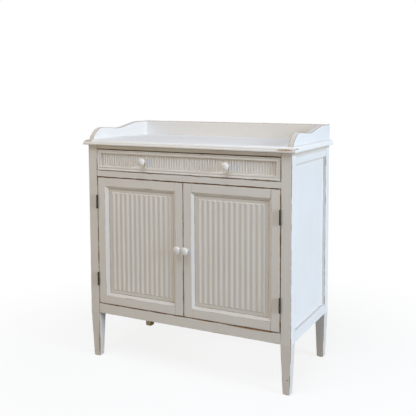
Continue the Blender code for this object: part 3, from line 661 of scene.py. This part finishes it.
def ring_stack(name, low, high, rings):
    """A slab grown from its underside. A ring is its distance in, but for the back edge, and its level."""
    first, base = rings[0]
    middle = (low + high) / 2
    width, depth = high.x - low.x, high.y - low.y
    bpy.ops.mesh.primitive_plane_add(size=1, location=(middle.x, middle.y, low.z + base))
    piece = bpy.context.object
    piece.name = name
    piece.scale = (width, depth, 1)
    settle(piece)
    open_all(piece)
    centre = (middle.x, high.y, 0)

    def draw_in(before, after):
        """Moves the open ring from one distance in to another."""
        across = (width - 2 * after) / (width - 2 * before)
        deep = (depth - after) / (depth - before)
        bpy.ops.transform.resize(value=(across, deep, 1), center_override=centre)

    draw_in(0, first)
    for (before, level), (after, next_level) in zip(rings, rings[1:]):
        rise = (0, 0, next_level - level)
        bpy.ops.mesh.extrude_region_move(TRANSFORM_OT_translate={"value": rise})
        draw_in(before, after)
    close_up()
    return piece


# The moulded edge from the underside up: a lip with eased arrises, a step in, a fillet and a round
BOARD_LIP = 0.0065
BOARD_STEP = 0.0018
BOARD_FILLET = 0.0016
BOARD_RADIUS = 0.0112
BOARD_ARRIS = 0.0009
LIP_ARRIS = 0.0008
STEP_HOLLOW = 0.0003
ROUND_RINGS = 12
# Painted shade on the side mouldings, and a trace of grime on the top surface
MOULDING_SHADE = 0.2
SURFACE_SOIL = 0.03


def board_rings(thickness):
    """The rings of the moulded edge."""
    rings = [(BOARD_ARRIS, 0.0), (BOARD_ARRIS / 3, BOARD_ARRIS / 3), (0.0, BOARD_ARRIS)]
    rings += [(0.0, BOARD_LIP - LIP_ARRIS), (LIP_ARRIS / 4, BOARD_LIP - LIP_ARRIS / 4)]
    rings += [(LIP_ARRIS, BOARD_LIP), (BOARD_STEP - STEP_HOLLOW, BOARD_LIP + STEP_HOLLOW)]
    spring = BOARD_LIP + BOARD_FILLET
    rings.append((BOARD_STEP, spring))
    for number in range(1, ROUND_RINGS + 1):
        turn = math.pi / 2 * number / ROUND_RINGS
        inset = BOARD_STEP + BOARD_RADIUS * (1 - math.cos(turn))
        rings.append((inset, spring + (thickness - spring) * math.sin(turn)))
    return rings


def board_dirt_and_shade(face):
    """A trace of grime on the top surface, and painted shade on the mouldings at the sides."""
    if abs(face.normal.x) > 0.25:
        return MOULDING_SHADE
    return SURFACE_SOIL if face.normal.z > 0.95 else 0.0


def top_board():
    """The board that carries the gallery, moulded on its front and both sides."""
    low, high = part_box("top_board")
    piece = ring_stack("painted_top_board", low, high, board_rings(high.z - low.z))
    smooth(piece, 40)
    mark_box(piece, low, (high.x, high.y + FAR, low.z + BOARD_LIP + BOARD_FILLET))
    write_faces(piece, "soil_and_shade", board_dirt_and_shade)
    dress(piece, top_paint, "cream_paint", "carcass", "top_board")


top_board()


# Gallery


def flat_curve(name, kind):
    """A closed flat curve in X and Y that is filled, and its one spline."""
    curve = bpy.data.curves.new(name, "CURVE")
    curve.dimensions = "2D"
    curve.fill_mode = "BOTH"
    spline = curve.splines.new(kind)
    spline.use_cyclic_u = True
    return curve, spline


def mesh_of(name, curve):
    """The solid that a curve stands for."""
    piece = bpy.data.objects.new(name, curve)
    bpy.context.scene.collection.objects.link(piece)
    active(piece)
    bpy.ops.object.convert(target="MESH")
    piece = bpy.context.object
    merge(piece)
    return piece


CURVE_STEPS = 14


def rounded_board(name, knots, thickness, rounding):
    """A board from a Bezier outline, with rounded edges. Each knot is its place and its two handles."""
    curve, spline = flat_curve(name, "BEZIER")
    curve.offset = -rounding
    curve.bevel_depth = rounding
    curve.bevel_resolution = 2
    curve.extrude = thickness / 2 - rounding
    curve.resolution_u = CURVE_STEPS
    spline.bezier_points.add(len(knots) - 1)
    for point, (place, before, after) in zip(spline.bezier_points, knots):
        point.handle_left_type = "FREE"
        point.handle_right_type = "FREE"
        point.co = (*place, 0)
        point.handle_left = (*before, 0)
        point.handle_right = (*after, 0)
    return mesh_of(name, curve)


def outline_board(name, points, height):
    """A flat outline in X and Y drawn up to a height along Z, centred on the origin."""
    curve, spline = flat_curve(name, "POLY")
    curve.extrude = height / 2
    spline.points.add(len(points) - 1)
    for point, (across, deep) in zip(spline.points, points):
        point.co = (across, deep, 0, 1)
    return mesh_of(name, curve)


# The side boards' nose, dip and rise, from their lower front corner: how far back, and how high
GALLERY_NOSE = (0.062, 0.0453)
GALLERY_DIP = (0.168, 0.0383)
GALLERY_RISE = 0.326
GALLERY_ROUNDING = 0.0014
BACK_ROUNDING = 0.0008
# Painted shade on the left board's inner face, how much darker nose and top are, and painted shade where the
# nose faces the front
INNER_SHADE = 0.25
UPPER_DARKENING = 0.08
NOSE_SHADE = 0.5


def eased_edge(face):
    """Whether a face lies on the rounding between a side board's flat and its nose, top or end."""
    return 0.15 < abs(face.normal.x) < FLAT and face.normal.z >= -0.05


def side_board_dirt_and_shade(face, side):
    """Grime on eased edges; nose and top a little darker; painted shade facing the front and on the left
    board's inner face.
    """
    if side == "left" and face.normal.x > FLAT:
        return INNER_SHADE
    if eased_edge(face):
        return 1.0
    if abs(face.normal.x) >= FLAT or face.normal.z < -0.05:
        return 0.0
    return UPPER_DARKENING + NOSE_SHADE * max(0.0, -face.normal.y)


def gallery_side(side):
    """A board with a round nose at the front, a shallow dip and a rise to the back."""
    node = "gallery_" + side
    low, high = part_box(node)
    length = high.y - low.y
    top = high.z - low.z
    pull = GALLERY_NOSE[0] / 2
    nose, dip, rise = Vector(GALLERY_NOSE), Vector(GALLERY_DIP), Vector((GALLERY_RISE, top))
    foot, corner, end = Vector((0, 0)), Vector((length, top)), Vector((length, 0))
    knots = (
        (foot, foot, Vector((pull / 6, nose.y / 3))),
        (nose, nose - Vector((pull * 0.95, 0)), nose + Vector((pull, 0))),
        (dip, dip - Vector((pull, 0)), dip + Vector((pull * 1.5, 0))),
        (rise, rise - Vector((pull * 2, 0)), rise),
        (corner, corner, corner),
        (end, end, end),
    )
    piece = rounded_board("painted_" + node, knots, high.x - low.x, GALLERY_ROUNDING)
    piece.rotation_euler = (math.pi / 2, 0, math.pi / 2)
    piece.location = ((low.x + high.x) / 2, low.y, low.z)
    settle(piece)
    smooth(piece, 30)
    write_faces(piece, "soil_and_shade", lambda face: side_board_dirt_and_shade(face, side))
    write_faces(piece, "raw_and_shade", lambda face: 0.8 if eased_edge(face) else 0.0)
    mark_box(piece, low, high, (ACROSS, DEEP, UPRIGHT))
    dress(piece, gallery_paint, "cream_paint", "carcass", node)


def gallery_back():
    """A straight board between the side boards, dirty along its upper edges, worn on the front one, lightly
    painted in shade elsewhere.
    """
    piece = painted_board("gallery_back", "carcass", ACROSS, width=BACK_ROUNDING)
    low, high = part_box("gallery_back")
    mark_box(piece, low - Vector((0, 0, FAR)), high, (ACROSS,))

    def upper_edge(face):
        """Whether a face lies on the rounding of an upper edge."""
        return 0.2 < face.normal.z < FLAT

    # Grime on the upper edges, and elsewhere a trace of painted shade
    write_faces(piece, "soil_and_shade", lambda face: 0.8 if upper_edge(face) else 0.03)
    write_faces(piece, "raw_and_shade", lambda face: 0.7 if upper_edge(face) and face.normal.y < 0 else 0.0)
    piece.data.materials[0] = gallery_paint


for side in SIDES:
    gallery_side(side)
gallery_back()


# Doors

# How far a cutting shape stands out before the front
PROUD = 0.003
# The slope of a door's frame: how far in it starts, how wide it is and how deep it goes
BEVEL_START = 0.0333
BEVEL_WIDTH = 0.0107
BEVEL_DEPTH = 0.0058
# How thick the moulding is at the slope's foot
MOULDING_FOOT = 0.0007
FRAME_ROUNDING = 0.0008
# The panel's field: its rise, the width of its sloped border and how far it keeps from the slope's foot
FIELD_RISE = 0.0026
FIELD_LAND = 0.0036
FIELD_BELOW = 0.0146
FIELD_ABOVE = 0.0131
FIELD_ROOT = 0.003
FLUTE_PITCH = 0.02165
FLUTE_DEPTH = 0.0019
FLUTES = 12
FLUTE_STEPS = 18
# How far in from the opening's edges the panel's face is darkened
PANEL_DARKENING = 0.003
# The left door's outer slope is wider, and its field lies nearer to the middle
SKEW = {"left": 0.0045, "right": 0.0}


def slope_tool(low, high, rates, start, depth):
    """A block whose sides lean out to the front. It reaches from start to depth behind the front plane.

    low and high are its corners in X and Z at its back. rates says how far its left, right, lower and
    upper side lean out for each metre forward.
    """
    piece = block("slope_tool", (low[0], FRONT + start, low[1]), (high[0], FRONT + depth, high[1]))
    edit_points(piece, lambda place: place.y < FRONT + (start + depth) / 2)
    shares, centres = [], []
    for near, far, lean, other in zip(low, high, rates[::2], rates[1::2]):
        grow = (depth - start) * (lean + other) / (far - near)
        shares.append(1 + grow)
        centres.append(near + (depth - start) * lean / grow)
    centre = (centres[0], 0, centres[1])
    bpy.ops.transform.resize(value=(shares[0], 1, shares[1]), center_override=centre)
    bpy.ops.object.mode_set(mode="OBJECT")
    return piece


def rim_inset(place, low, high):
    """How far in a place lies from the nearest outer edge of a door or a drawer front."""
    return min(place.x - low.x, high.x - place.x, place.z - low.z, high.z - place.z)


def door_corners(side):
    """A door's outer corners, from those of its stiles."""
    stiles = [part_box(f"{side}_door_{name}_stile") for name in ("hinge", "meeting")]
    left, right = sorted(stiles, key=lambda corners: corners[0].x)
    return Vector(left[0]), Vector(right[1])


def door_sight(side):
    """Corners in X and Z of the opening at the foot of the frame's slope."""
    low, high = door_corners(side)
    foot = BEVEL_START + BEVEL_WIDTH
    return (low.x + foot + SKEW[side], low.z + foot), (high.x - foot, high.z - foot)


def door_slope(side):
    """The shape that cuts the slope round a door's opening."""
    low, high = door_sight(side)
    rate = BEVEL_WIDTH / BEVEL_DEPTH
    rates = ((BEVEL_WIDTH + SKEW[side]) / BEVEL_DEPTH, rate, rate, rate)
    return slope_tool(low, high, rates, -PROUD, BEVEL_DEPTH)


def finish_frame(piece, side, axis, node):
    """Paint for a piece of a door's frame, worn along the door's edges and where the slope starts."""
    low, high = door_corners(side)
    middle = (low + high) / 2
    half = (high - low) / 2
    rim_middle = Vector((middle.x, FRONT, middle.z))
    rim_reach = Vector((half.x - BEVEL_START, 0, half.z - BEVEL_START))

    def brown_edge(face):
        """The door's outer edges, and the ends of its rails, which show dark in the joints."""
        joint = axis == ACROSS and abs(face.normal.x) > 0.3
        return 1.0 if rim_inset(face.center, low, high) < TOUCH or joint else 0.0

    mark_box(piece, low, high)
    write_points(piece, "rim_middle", lambda place: rim_middle)
    write_points(piece, "rim_reach", lambda place: rim_reach)
    write_faces(piece, "raw_and_shade", brown_edge)
    dress(piece, paint[axis], "cream_paint", side + "_door", node)


def door_frame(side):
    """Two stiles and two rails with a slope cut along their inner edges."""
    for part in ("hinge_stile", "meeting_stile", "top_rail", "bottom_rail"):
        node = f"{side}_door_{part}"
        piece = block("painted_" + node, *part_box(node))
        combine(piece, door_slope(side))
        ease(piece, FRAME_ROUNDING, 2, 15)
        finish_frame(piece, side, UPRIGHT if "stile" in part else ACROSS, node)


def door_moulding(side):
    """A ring that carries the slope on. Its outer edges touch the frame, and it has a hole in the middle."""
    node = side + "_door_moulding"
    low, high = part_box(node)
    spare = Vector((TOUCH, 0, TOUCH)) * 0.9
    piece = block("painted_" + node, low - spare, high + spare)
    sight_low, sight_high = door_sight(side)
    hole_low = (sight_low[0], FRONT - PROUD, sight_low[1])
    hole_high = (sight_high[0], high.y + 0.001, sight_high[1])
    combine(piece, block("sight", hole_low, hole_high))
    combine(piece, door_slope(side))
    smooth(piece, 20)
    finish_frame(piece, side, UPRIGHT, node)


def fluted_field(height):
    """A raised field of hollow flutes between rounded ridges, sloped at both ends and at its sides."""
    width = FLUTES * FLUTE_PITCH
    half = width / 2 + FIELD_LAND
    points = [(-half, FIELD_RISE)]
    for step in range(FLUTES * FLUTE_STEPS + 1):
        hollow = math.sin(math.pi * (step % FLUTE_STEPS) / FLUTE_STEPS) ** 2
        points.append((-width / 2 + FLUTE_PITCH * step / FLUTE_STEPS, FLUTE_DEPTH * hollow))
    root = FIELD_RISE + FIELD_ROOT
    points += [(half, FIELD_RISE), (half, root), (-half, root)]
    field = outline_board("field", points, height)
    for vertex in field.data.vertices:
        lean = (FIELD_RISE - vertex.co.y) * FIELD_LAND / FIELD_RISE
        vertex.co.z -= math.copysign(lean, vertex.co.z)
    return field


def door_panel(side):
    """A door's panel with its fluted field, darker where its face meets the moulding."""
    node = side + "_door_panel"
    low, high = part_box(node)
    face = FRONT + BEVEL_DEPTH + MOULDING_FOOT + TOUCH
    panel = block("painted_" + node, (low.x, face, low.z), high)
    door_low, door_high = door_corners(side)
    sight_low, sight_high = door_sight(side)
    field_low = sight_low[1] + FIELD_BELOW
    field_high = sight_high[1] - FIELD_ABOVE
    field = fluted_field(field_high - field_low)
    centre_x = ((door_low + door_high) / 2).x + SKEW[side]
    field.location = (centre_x, face - FIELD_RISE, (field_low + field_high) / 2)
    settle(field)
    combine(panel, field, "UNION")
    smooth(panel, 24)
    opening_low = Vector((sight_low[0], face, sight_low[1]))
    opening_high = Vector((sight_high[0], face, sight_high[1]))
    mark_box(panel, opening_low, opening_high)

    def reach_at(place):
        """The opening's edges darken the face only, so behind it they lie far away."""
        return (opening_high - opening_low) / 2 if place.y < face + 0.001 else (FAR, FAR, FAR)

    write_points(panel, "reach", reach_at)
    mark_crease(panel, PANEL_DARKENING)
    dress(panel, paint[UPRIGHT], "cream_paint", side + "_door", node)


for side in SIDES:
    door_frame(side)
    door_moulding(side)
    door_panel(side)


# Drawer front

# From the outside in: a lip, a slope by its width and depth, a valley, the bead's outer flank, the bead
# and the step down to the reeded panel
DRAWER_LIP = 0.001
DRAWER_SLOPE = (0.0055, 0.003)
DRAWER_VALLEY = 0.0008
DRAWER_BEAD_FLANK = 0.0032
DRAWER_BEAD_RISE = 0.0012
DRAWER_BEAD_WIDTH = 0.0035
DRAWER_STEP = 0.0015
DRAWER_PANEL_DEPTH = 0.0070
DRAWER_ROUNDING = 0.0008
REED_PITCH = 0.01085
REED_HEIGHT = 0.0024
REED_STEPS = 10
# How far in the slope ends, the bead starts and the reeded panel starts, and how deep the bead's crest lies
SLOPE_FOOT = DRAWER_LIP + DRAWER_SLOPE[0]
BEAD_START = SLOPE_FOOT + DRAWER_VALLEY
REED_START = BEAD_START + DRAWER_BEAD_FLANK + DRAWER_BEAD_WIDTH + DRAWER_STEP
BEAD_CREST = DRAWER_SLOPE[1] - DRAWER_BEAD_RISE


def reed_tool(width, height):
    """The shape that cuts a panel of close round reeds, centred on the front plane."""
    count = int(width / REED_PITCH)
    points = []
    for step in range(count * REED_STEPS + 1):
        from_crown = 2 * (step % REED_STEPS) / REED_STEPS - 1
        deep = DRAWER_PANEL_DEPTH + REED_HEIGHT * from_crown**2
        points.append((REED_PITCH * (step / REED_STEPS - count / 2), deep))
    points += [(points[-1][0], 0), (points[0][0], 0)]
    return outline_board("reeds", points, height)


def drawer_front():
    """A board with a sloped edge, a raised bead round it and a reeded panel sunk inside the bead."""
    low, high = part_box("drawer_front")
    middle = (low + high) / 2
    half = (high - low) / 2
    piece = block("painted_drawer_front", low, high)

    def tool(inset, rate, start, depth):
        """A slope tool with its back that far in from the board's edges."""
        corner_low = (low.x + inset, low.z + inset)
        corner_high = (high.x - inset, high.z - inset)
        return slope_tool(corner_low, corner_high, (rate,) * 4, start, depth)

    combine(piece, tool(SLOPE_FOOT, DRAWER_SLOPE[0] / DRAWER_SLOPE[1], -PROUD, DRAWER_SLOPE[1]))
    rate = DRAWER_BEAD_FLANK / DRAWER_BEAD_RISE
    sunk = 0.001
    bead = tool(BEAD_START - sunk * rate, -rate, BEAD_CREST, DRAWER_SLOPE[1] + sunk)
    combine(piece, bead, "UNION")
    rate = DRAWER_STEP / (DRAWER_PANEL_DEPTH - BEAD_CREST)
    combine(piece, tool(REED_START, rate, -PROUD, DRAWER_PANEL_DEPTH))
    ease(piece, DRAWER_ROUNDING, 3, 12, False)
    reeds = reed_tool(2 * (half.x - REED_START), 2 * (half.z - REED_START))
    reeds.location = (middle.x, FRONT, middle.z)
    settle(reeds)
    combine(piece, reeds)
    smooth(piece, 24)

    def shade_and_dirt_at(face):
        """Painted shade on the slope's lit left and lower sides; grime and painted shade on the step inside
        the bead, most on its left.
        """
        inset = rim_inset(face.center, low, high)
        on_step = REED_START - DRAWER_STEP - 0.001 < inset < REED_START + 0.0006
        if max(face.normal.x, face.normal.z) > 0.3 and inset < SLOPE_FOOT:
            return 0.3
        if not on_step or face.center.y - low.y < BEAD_CREST + 0.0006:
            return 0.0
        return 1.0 if face.normal.x > 0.5 else 0.6

    def brown_edge(face):
        """The board's ends and its top edge, which show in the gaps round the drawer."""
        turned_out = max(abs(face.normal.x), face.normal.z) > TURNED
        edge = turned_out and face.center.z > high.z - DRAWER_LIP
        return 1.0 if edge or abs(face.normal.x) > FLAT else 0.0

    write_faces(piece, "soil_and_shade", shade_and_dirt_at)
    mark_box(piece, low, high)
    write_faces(piece, "raw_and_shade", brown_edge)
    dress(piece, drawer_paint, "cream_paint", "drawer", "drawer_front")


drawer_front()


# Turned pieces


def turned(name, centre, axis, profile, sides=40):
    """A shape grown ring by ring along an axis from a disc.

    Each ring of the profile is its radius and its place along the axis.
    """
    radius, start = profile[0]
    spin = {ACROSS: (0, math.pi / 2, 0), DEEP: (-math.pi / 2, 0, 0), UPRIGHT: (0, 0, 0)}[axis]
    step = Vector((axis == ACROSS, axis == DEEP, axis == UPRIGHT))
    origin = Vector(centre)
    place = origin + step * start
    bpy.ops.mesh.primitive_circle_add(
        vertices=sides, radius=radius, fill_type="NGON", location=place, rotation=spin
    )
    piece = bpy.context.object
    piece.name = name
    settle(piece)
    open_all(piece)
    for (before, place), (after, next_place) in zip(profile, profile[1:]):
        move = tuple(step * (next_place - place))
        bpy.ops.mesh.extrude_region_move(TRANSFORM_OT_translate={"value": move})
        share = after / before
        size = tuple(1 if number == axis else share for number in range(3))
        bpy.ops.transform.resize(value=size, center_override=origin + step * next_place)
    close_up()
    smooth(piece, 40)
    return piece


# Each ring of a knob is its radius and how far it stands before the piece that carries it: a dowel, a foot,
# a hollow neck, a rim and a face
KNOB_RIM = 0.0203
KNOB_RINGS = (
    (0.0040, -0.0118), (0.0040, TOUCH), (0.0074, TOUCH), (0.0079, 0.0008), (0.0078, 0.0014),
    (0.0072, 0.0022), (0.0061, 0.0034), (0.0054, 0.0050), (0.0051, 0.0072), (0.0053, 0.0096),
    (0.0060, 0.0118), (0.0074, 0.0140), (0.0094, 0.0162), (0.0115, 0.0180), (0.0130, 0.0192),
    (0.0140, KNOB_RIM), (0.0145, 0.0212), (0.0144, 0.0221), (0.0138, 0.0229), (0.0130, 0.0236),
    (0.0115, 0.0243), (0.0090, 0.0250), (0.0060, 0.0256), (0.0030, 0.0259), (0.0006, 0.0260),
)


def knob(node, body):
    """A turned knob: a hollow neck under a flat round head, on a dowel. Behind its rim it is darkened by
    grime and painted shade.
    """
    low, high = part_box(node)
    centre = ((low.x + high.x) / 2, low.y + KNOB_RINGS[-1][1], (low.z + high.z) / 2)
    profile = [(radius, -before) for radius, before in KNOB_RINGS]
    piece = turned("painted_" + node, centre, DEEP, profile)
    mark_box(piece, low, high, (ACROSS, DEEP, UPRIGHT))
    # Grime and painted shade on the neck and foot behind the rim
    write_faces(piece, "soil_and_shade", lambda face: 1.0 if centre[1] - face.center.y < KNOB_RIM else 0.0)
    dress(piece, knob_paint, "cream_paint", body, node)


for side in SIDES:
    knob(side + "_door_knob", side + "_door")
    knob(f"drawer_{side}_knob", "drawer")


# Hinges: knuckles on a pin, with leaves let into leg and stile

LEAF_THICKNESS = 0.0012
# How far a leaf's plate keeps from the middle of the pin, and how far its knuckles' necks reach into it
LEAF_SETBACK = 0.0002
NECK_LAP = 0.002
# Radius and half the length of the pin, and of the bore that clears it
PIN = (0.0016, 0.026)
BORE = (0.0019, 0.027)


def knuckle(centre, radius, length):
    """One knuckle with eased ends."""
    soft = radius * 0.12
    half = length / 2
    profile = [(radius - soft, -half), (radius, -half + soft), (radius, half - soft), (radius - soft, half)]
    return turned("barrel", centre, UPRIGHT, profile, 24)


def hinge_leaf(node, shares):
    """A leaf plate with its knuckles, and the middle of its barrel. Each share is a knuckle's two ends."""
    low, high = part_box(node)
    length = high.z - low.z
    radius = (FRONT - TOUCH - low.y) / 2
    centre_x = low.x + radius
    axis_y = low.y + radius
    outer = 1 if "frame" in node else -1
    if "left" in node:
        outer = -outer
    near = centre_x + outer * LEAF_SETBACK
    far = near + outer * LEAF_THICKNESS
    plate_low = (min(near, far), FRONT, low.z)
    plate_high = (max(near, far), high.y, high.z)
    piece = block("leaf_" + node, plate_low, plate_high)
    for start, end in shares:
        z_low = low.z + length * start + TOUCH
        z_high = low.z + length * end - TOUCH
        neck = block("neck", (plate_low[0], axis_y, z_low), (plate_high[0], FRONT + NECK_LAP, z_high))
        combine(piece, neck, "UNION")
        barrel = knuckle((centre_x, axis_y, (z_low + z_high) / 2), radius, z_high - z_low)
        combine(piece, barrel, "UNION")
    return piece, (centre_x, axis_y, (low.z + high.z) / 2)


def rod(name, centre, size):
    """An upright rod by its radius and half its length."""
    radius, half = size
    return turned(name, centre, UPRIGHT, [(radius, -half), (radius, half)], 20)


def hinge(side, place):
    """A butt hinge: the frame's leaf with two knuckles and the pin, and the door's with one between them."""
    node = f"{side}_{place}_hinge_frame_leaf"
    piece, centre = hinge_leaf(node, ((0, 1 / 3), (2 / 3, 1)))
    combine(piece, rod("pin", centre, PIN), "UNION")
    smooth(piece, 35)
    dress(piece, dark_steel, "dark_steel", "carcass", node)
    node = f"{side}_{place}_hinge_door_leaf"
    piece, centre = hinge_leaf(node, ((1 / 3, 2 / 3),))
    combine(piece, rod("bore", centre, BORE))
    smooth(piece, 35)
    dress(piece, dark_steel, "dark_steel", side + "_door", node)


for side in SIDES:
    for place in ("upper", "lower"):
        hinge(side, place)


# Glides, catch and strikes

# A glide's rings, as shares of its radius and of its height
GLIDE_RINGS = ((0.86, 0), (0.96, 0.12), (1, 0.4), (1, 0.9), (0.95, 1))


def glide(node):
    """A round plastic glide under a leg's foot."""
    low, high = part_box(node)
    centre = ((low.x + high.x) / 2, (low.y + high.y) / 2, 0)
    radius = (high.x - low.x) / 2
    profile = [(radius * share, high.z * level) for share, level in GLIDE_RINGS]
    piece = turned("moulded_" + node, centre, UPRIGHT, profile, 32)
    dress(piece, glide_plastic, "black_plastic", "carcass", node)


for side in SIDES:
    for end in ("front", "back"):
        glide(f"{end}_{side}_glide")

# Nodes whose shape is right get their finish only
CARRIED_OVER = (
    (wood[UPRIGHT], ("back_panel",)),
    (wood[ACROSS], ("cabinet_floor", "shelf", "drawer_back", "drawer_bottom")),
    (wood[DEEP], ("left_shelf_cleat", "right_shelf_cleat", "left_drawer_runner", "right_drawer_runner")),
    (wood[DEEP], ("drawer_left_side", "drawer_right_side")),
    (catch_plastic, ("magnetic_catch",)),
    (bright_steel, ("left_door_strike", "right_door_strike")),
)
for material, nodes in CARRIED_OVER:
    for node in nodes:
        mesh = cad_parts[node].data
        mesh.materials.clear()
        mesh.materials.append(material)


# Floor, light and camera

WHITE = colour(1, 1, 1)
FLOOR_GREY = colour(0.42, 0.42, 0.42)
FLOOR_WHITE = colour(0.97, 0.97, 0.97)
FLOOR_RADIUS = 30
# Distances from the middle between which the floor's shadow fades, and how bright the floor glows under it
SHADOW_REACH = (0.45, 1.5)
SHADOW_GLOW = 0.86


def looked_at(start):
    """1 for what the camera sees, also in metal or through glass, and 0 for light thrown back."""
    kinds = ("Camera", "Glossy", "Transmission")
    direct, mirrored, through = (start.make("LightPath", output=f"Is {kind} Ray") for kind in kinds)
    return direct.most(mirrored).most(through)


def floor_material():
    """White with a faint shadow for the camera, and grey to the light that the floor throws back up."""
    material, shader, place = new_material("studio_floor", roughness=0.9)
    seen = looked_at(place)
    far = place.vector("LENGTH", place, output=1).ramp(*SHADOW_REACH)
    feed(seen.blend(FLOOR_GREY, FLOOR_WHITE), shader.inputs["Base Color"])
    glow = place.make("Emission", {"Color": WHITE, "Strength": 1.0})
    surface = Flow(place.tree, shader.outputs[0])
    share = seen * (SHADOW_GLOW + (1 - SHADOW_GLOW) * far)
    mixed = place.make("MixShader", {0: share, 1: surface, 2: glow})
    feed(mixed, material.node_tree.nodes["Material Output"].inputs["Surface"])
    return material


def studio_floor():
    """A wide round floor."""
    bpy.ops.mesh.primitive_circle_add(vertices=64, radius=FLOOR_RADIUS, fill_type="NGON", location=(0, 0, 0))
    floor = bpy.context.object
    floor.name = "studio_floor"
    floor.data.materials.append(floor_material())


ROOM_COLOUR = colour(1.0, 0.95, 0.90)
ROOM_LEVEL = 0.02


def studio_world():
    """White behind the object, and next to no light from all round."""
    world = bpy.data.worlds.new("studio")
    world.use_nodes = True
    bpy.context.scene.world = world
    start = Flow(world.node_tree)
    room = start.make("Background", {"Color": ROOM_COLOUR, "Strength": ROOM_LEVEL})
    white = start.make("Background", {"Color": WHITE, "Strength": 1.0})
    mixed = start.make("MixShader", {0: looked_at(start), 1: room, 2: white})
    feed(mixed, world.node_tree.nodes["World Output"].inputs["Surface"])


LAMP_TARGET = Vector((0, 0, 0.5))
# Each lamp's name, place, size in metres, power in watts and tint
LAMPS = (
    ("window", (8.75, -1.25, 2.5), 3.0, 785, (0.728, 0.848, 1.0)),
    ("high_front_light", (0.2, -1.4, 3.5), 2.0, 73, (0.83, 0.89, 1.0)),
    ("warm_fill", (-4.8, -6.0, 1.9), 4.0, 123, (1.0, 0.67, 0.18)),
)


def area_lamp(name, place, size, power, tint):
    """A square soft box that looks at the object."""
    bpy.ops.object.light_add(type="AREA", location=place)
    lamp = bpy.context.object
    lamp.name = name
    lamp.rotation_euler = (LAMP_TARGET - Vector(place)).to_track_quat("-Z", "Y").to_euler()
    lamp.data.size = size
    lamp.data.energy = power
    lamp.data.color = tint


# The photo's camera: its place, how far it looks down and is turned to the left in degrees, the lens and
# the picture's shift, as they were fitted to the photo
CAMERA_PLACE = (1.2223, -2.2473, 1.0666)
CAMERA_DOWN = 4.634
CAMERA_TURN = 25.22
SENSOR_WIDTH = 36
LENS = 56.2
PICTURE_SHIFT = (-0.0889, -0.1513)


def photo_camera():
    """A camera where the photo was taken from."""
    rotation = (math.radians(90 - CAMERA_DOWN), 0, math.radians(CAMERA_TURN))
    bpy.ops.object.camera_add(location=CAMERA_PLACE, rotation=rotation)
    camera = bpy.context.object
    camera.data.sensor_width = SENSOR_WIDTH
    camera.data.lens = LENS
    camera.data.shift_x, camera.data.shift_y = PICTURE_SHIFT
    bpy.context.scene.camera = camera


studio_floor()
studio_world()
for lamp in LAMPS:
    area_lamp(*lamp)
photo_camera()
bpy.context.scene.view_settings.view_transform = "Standard"
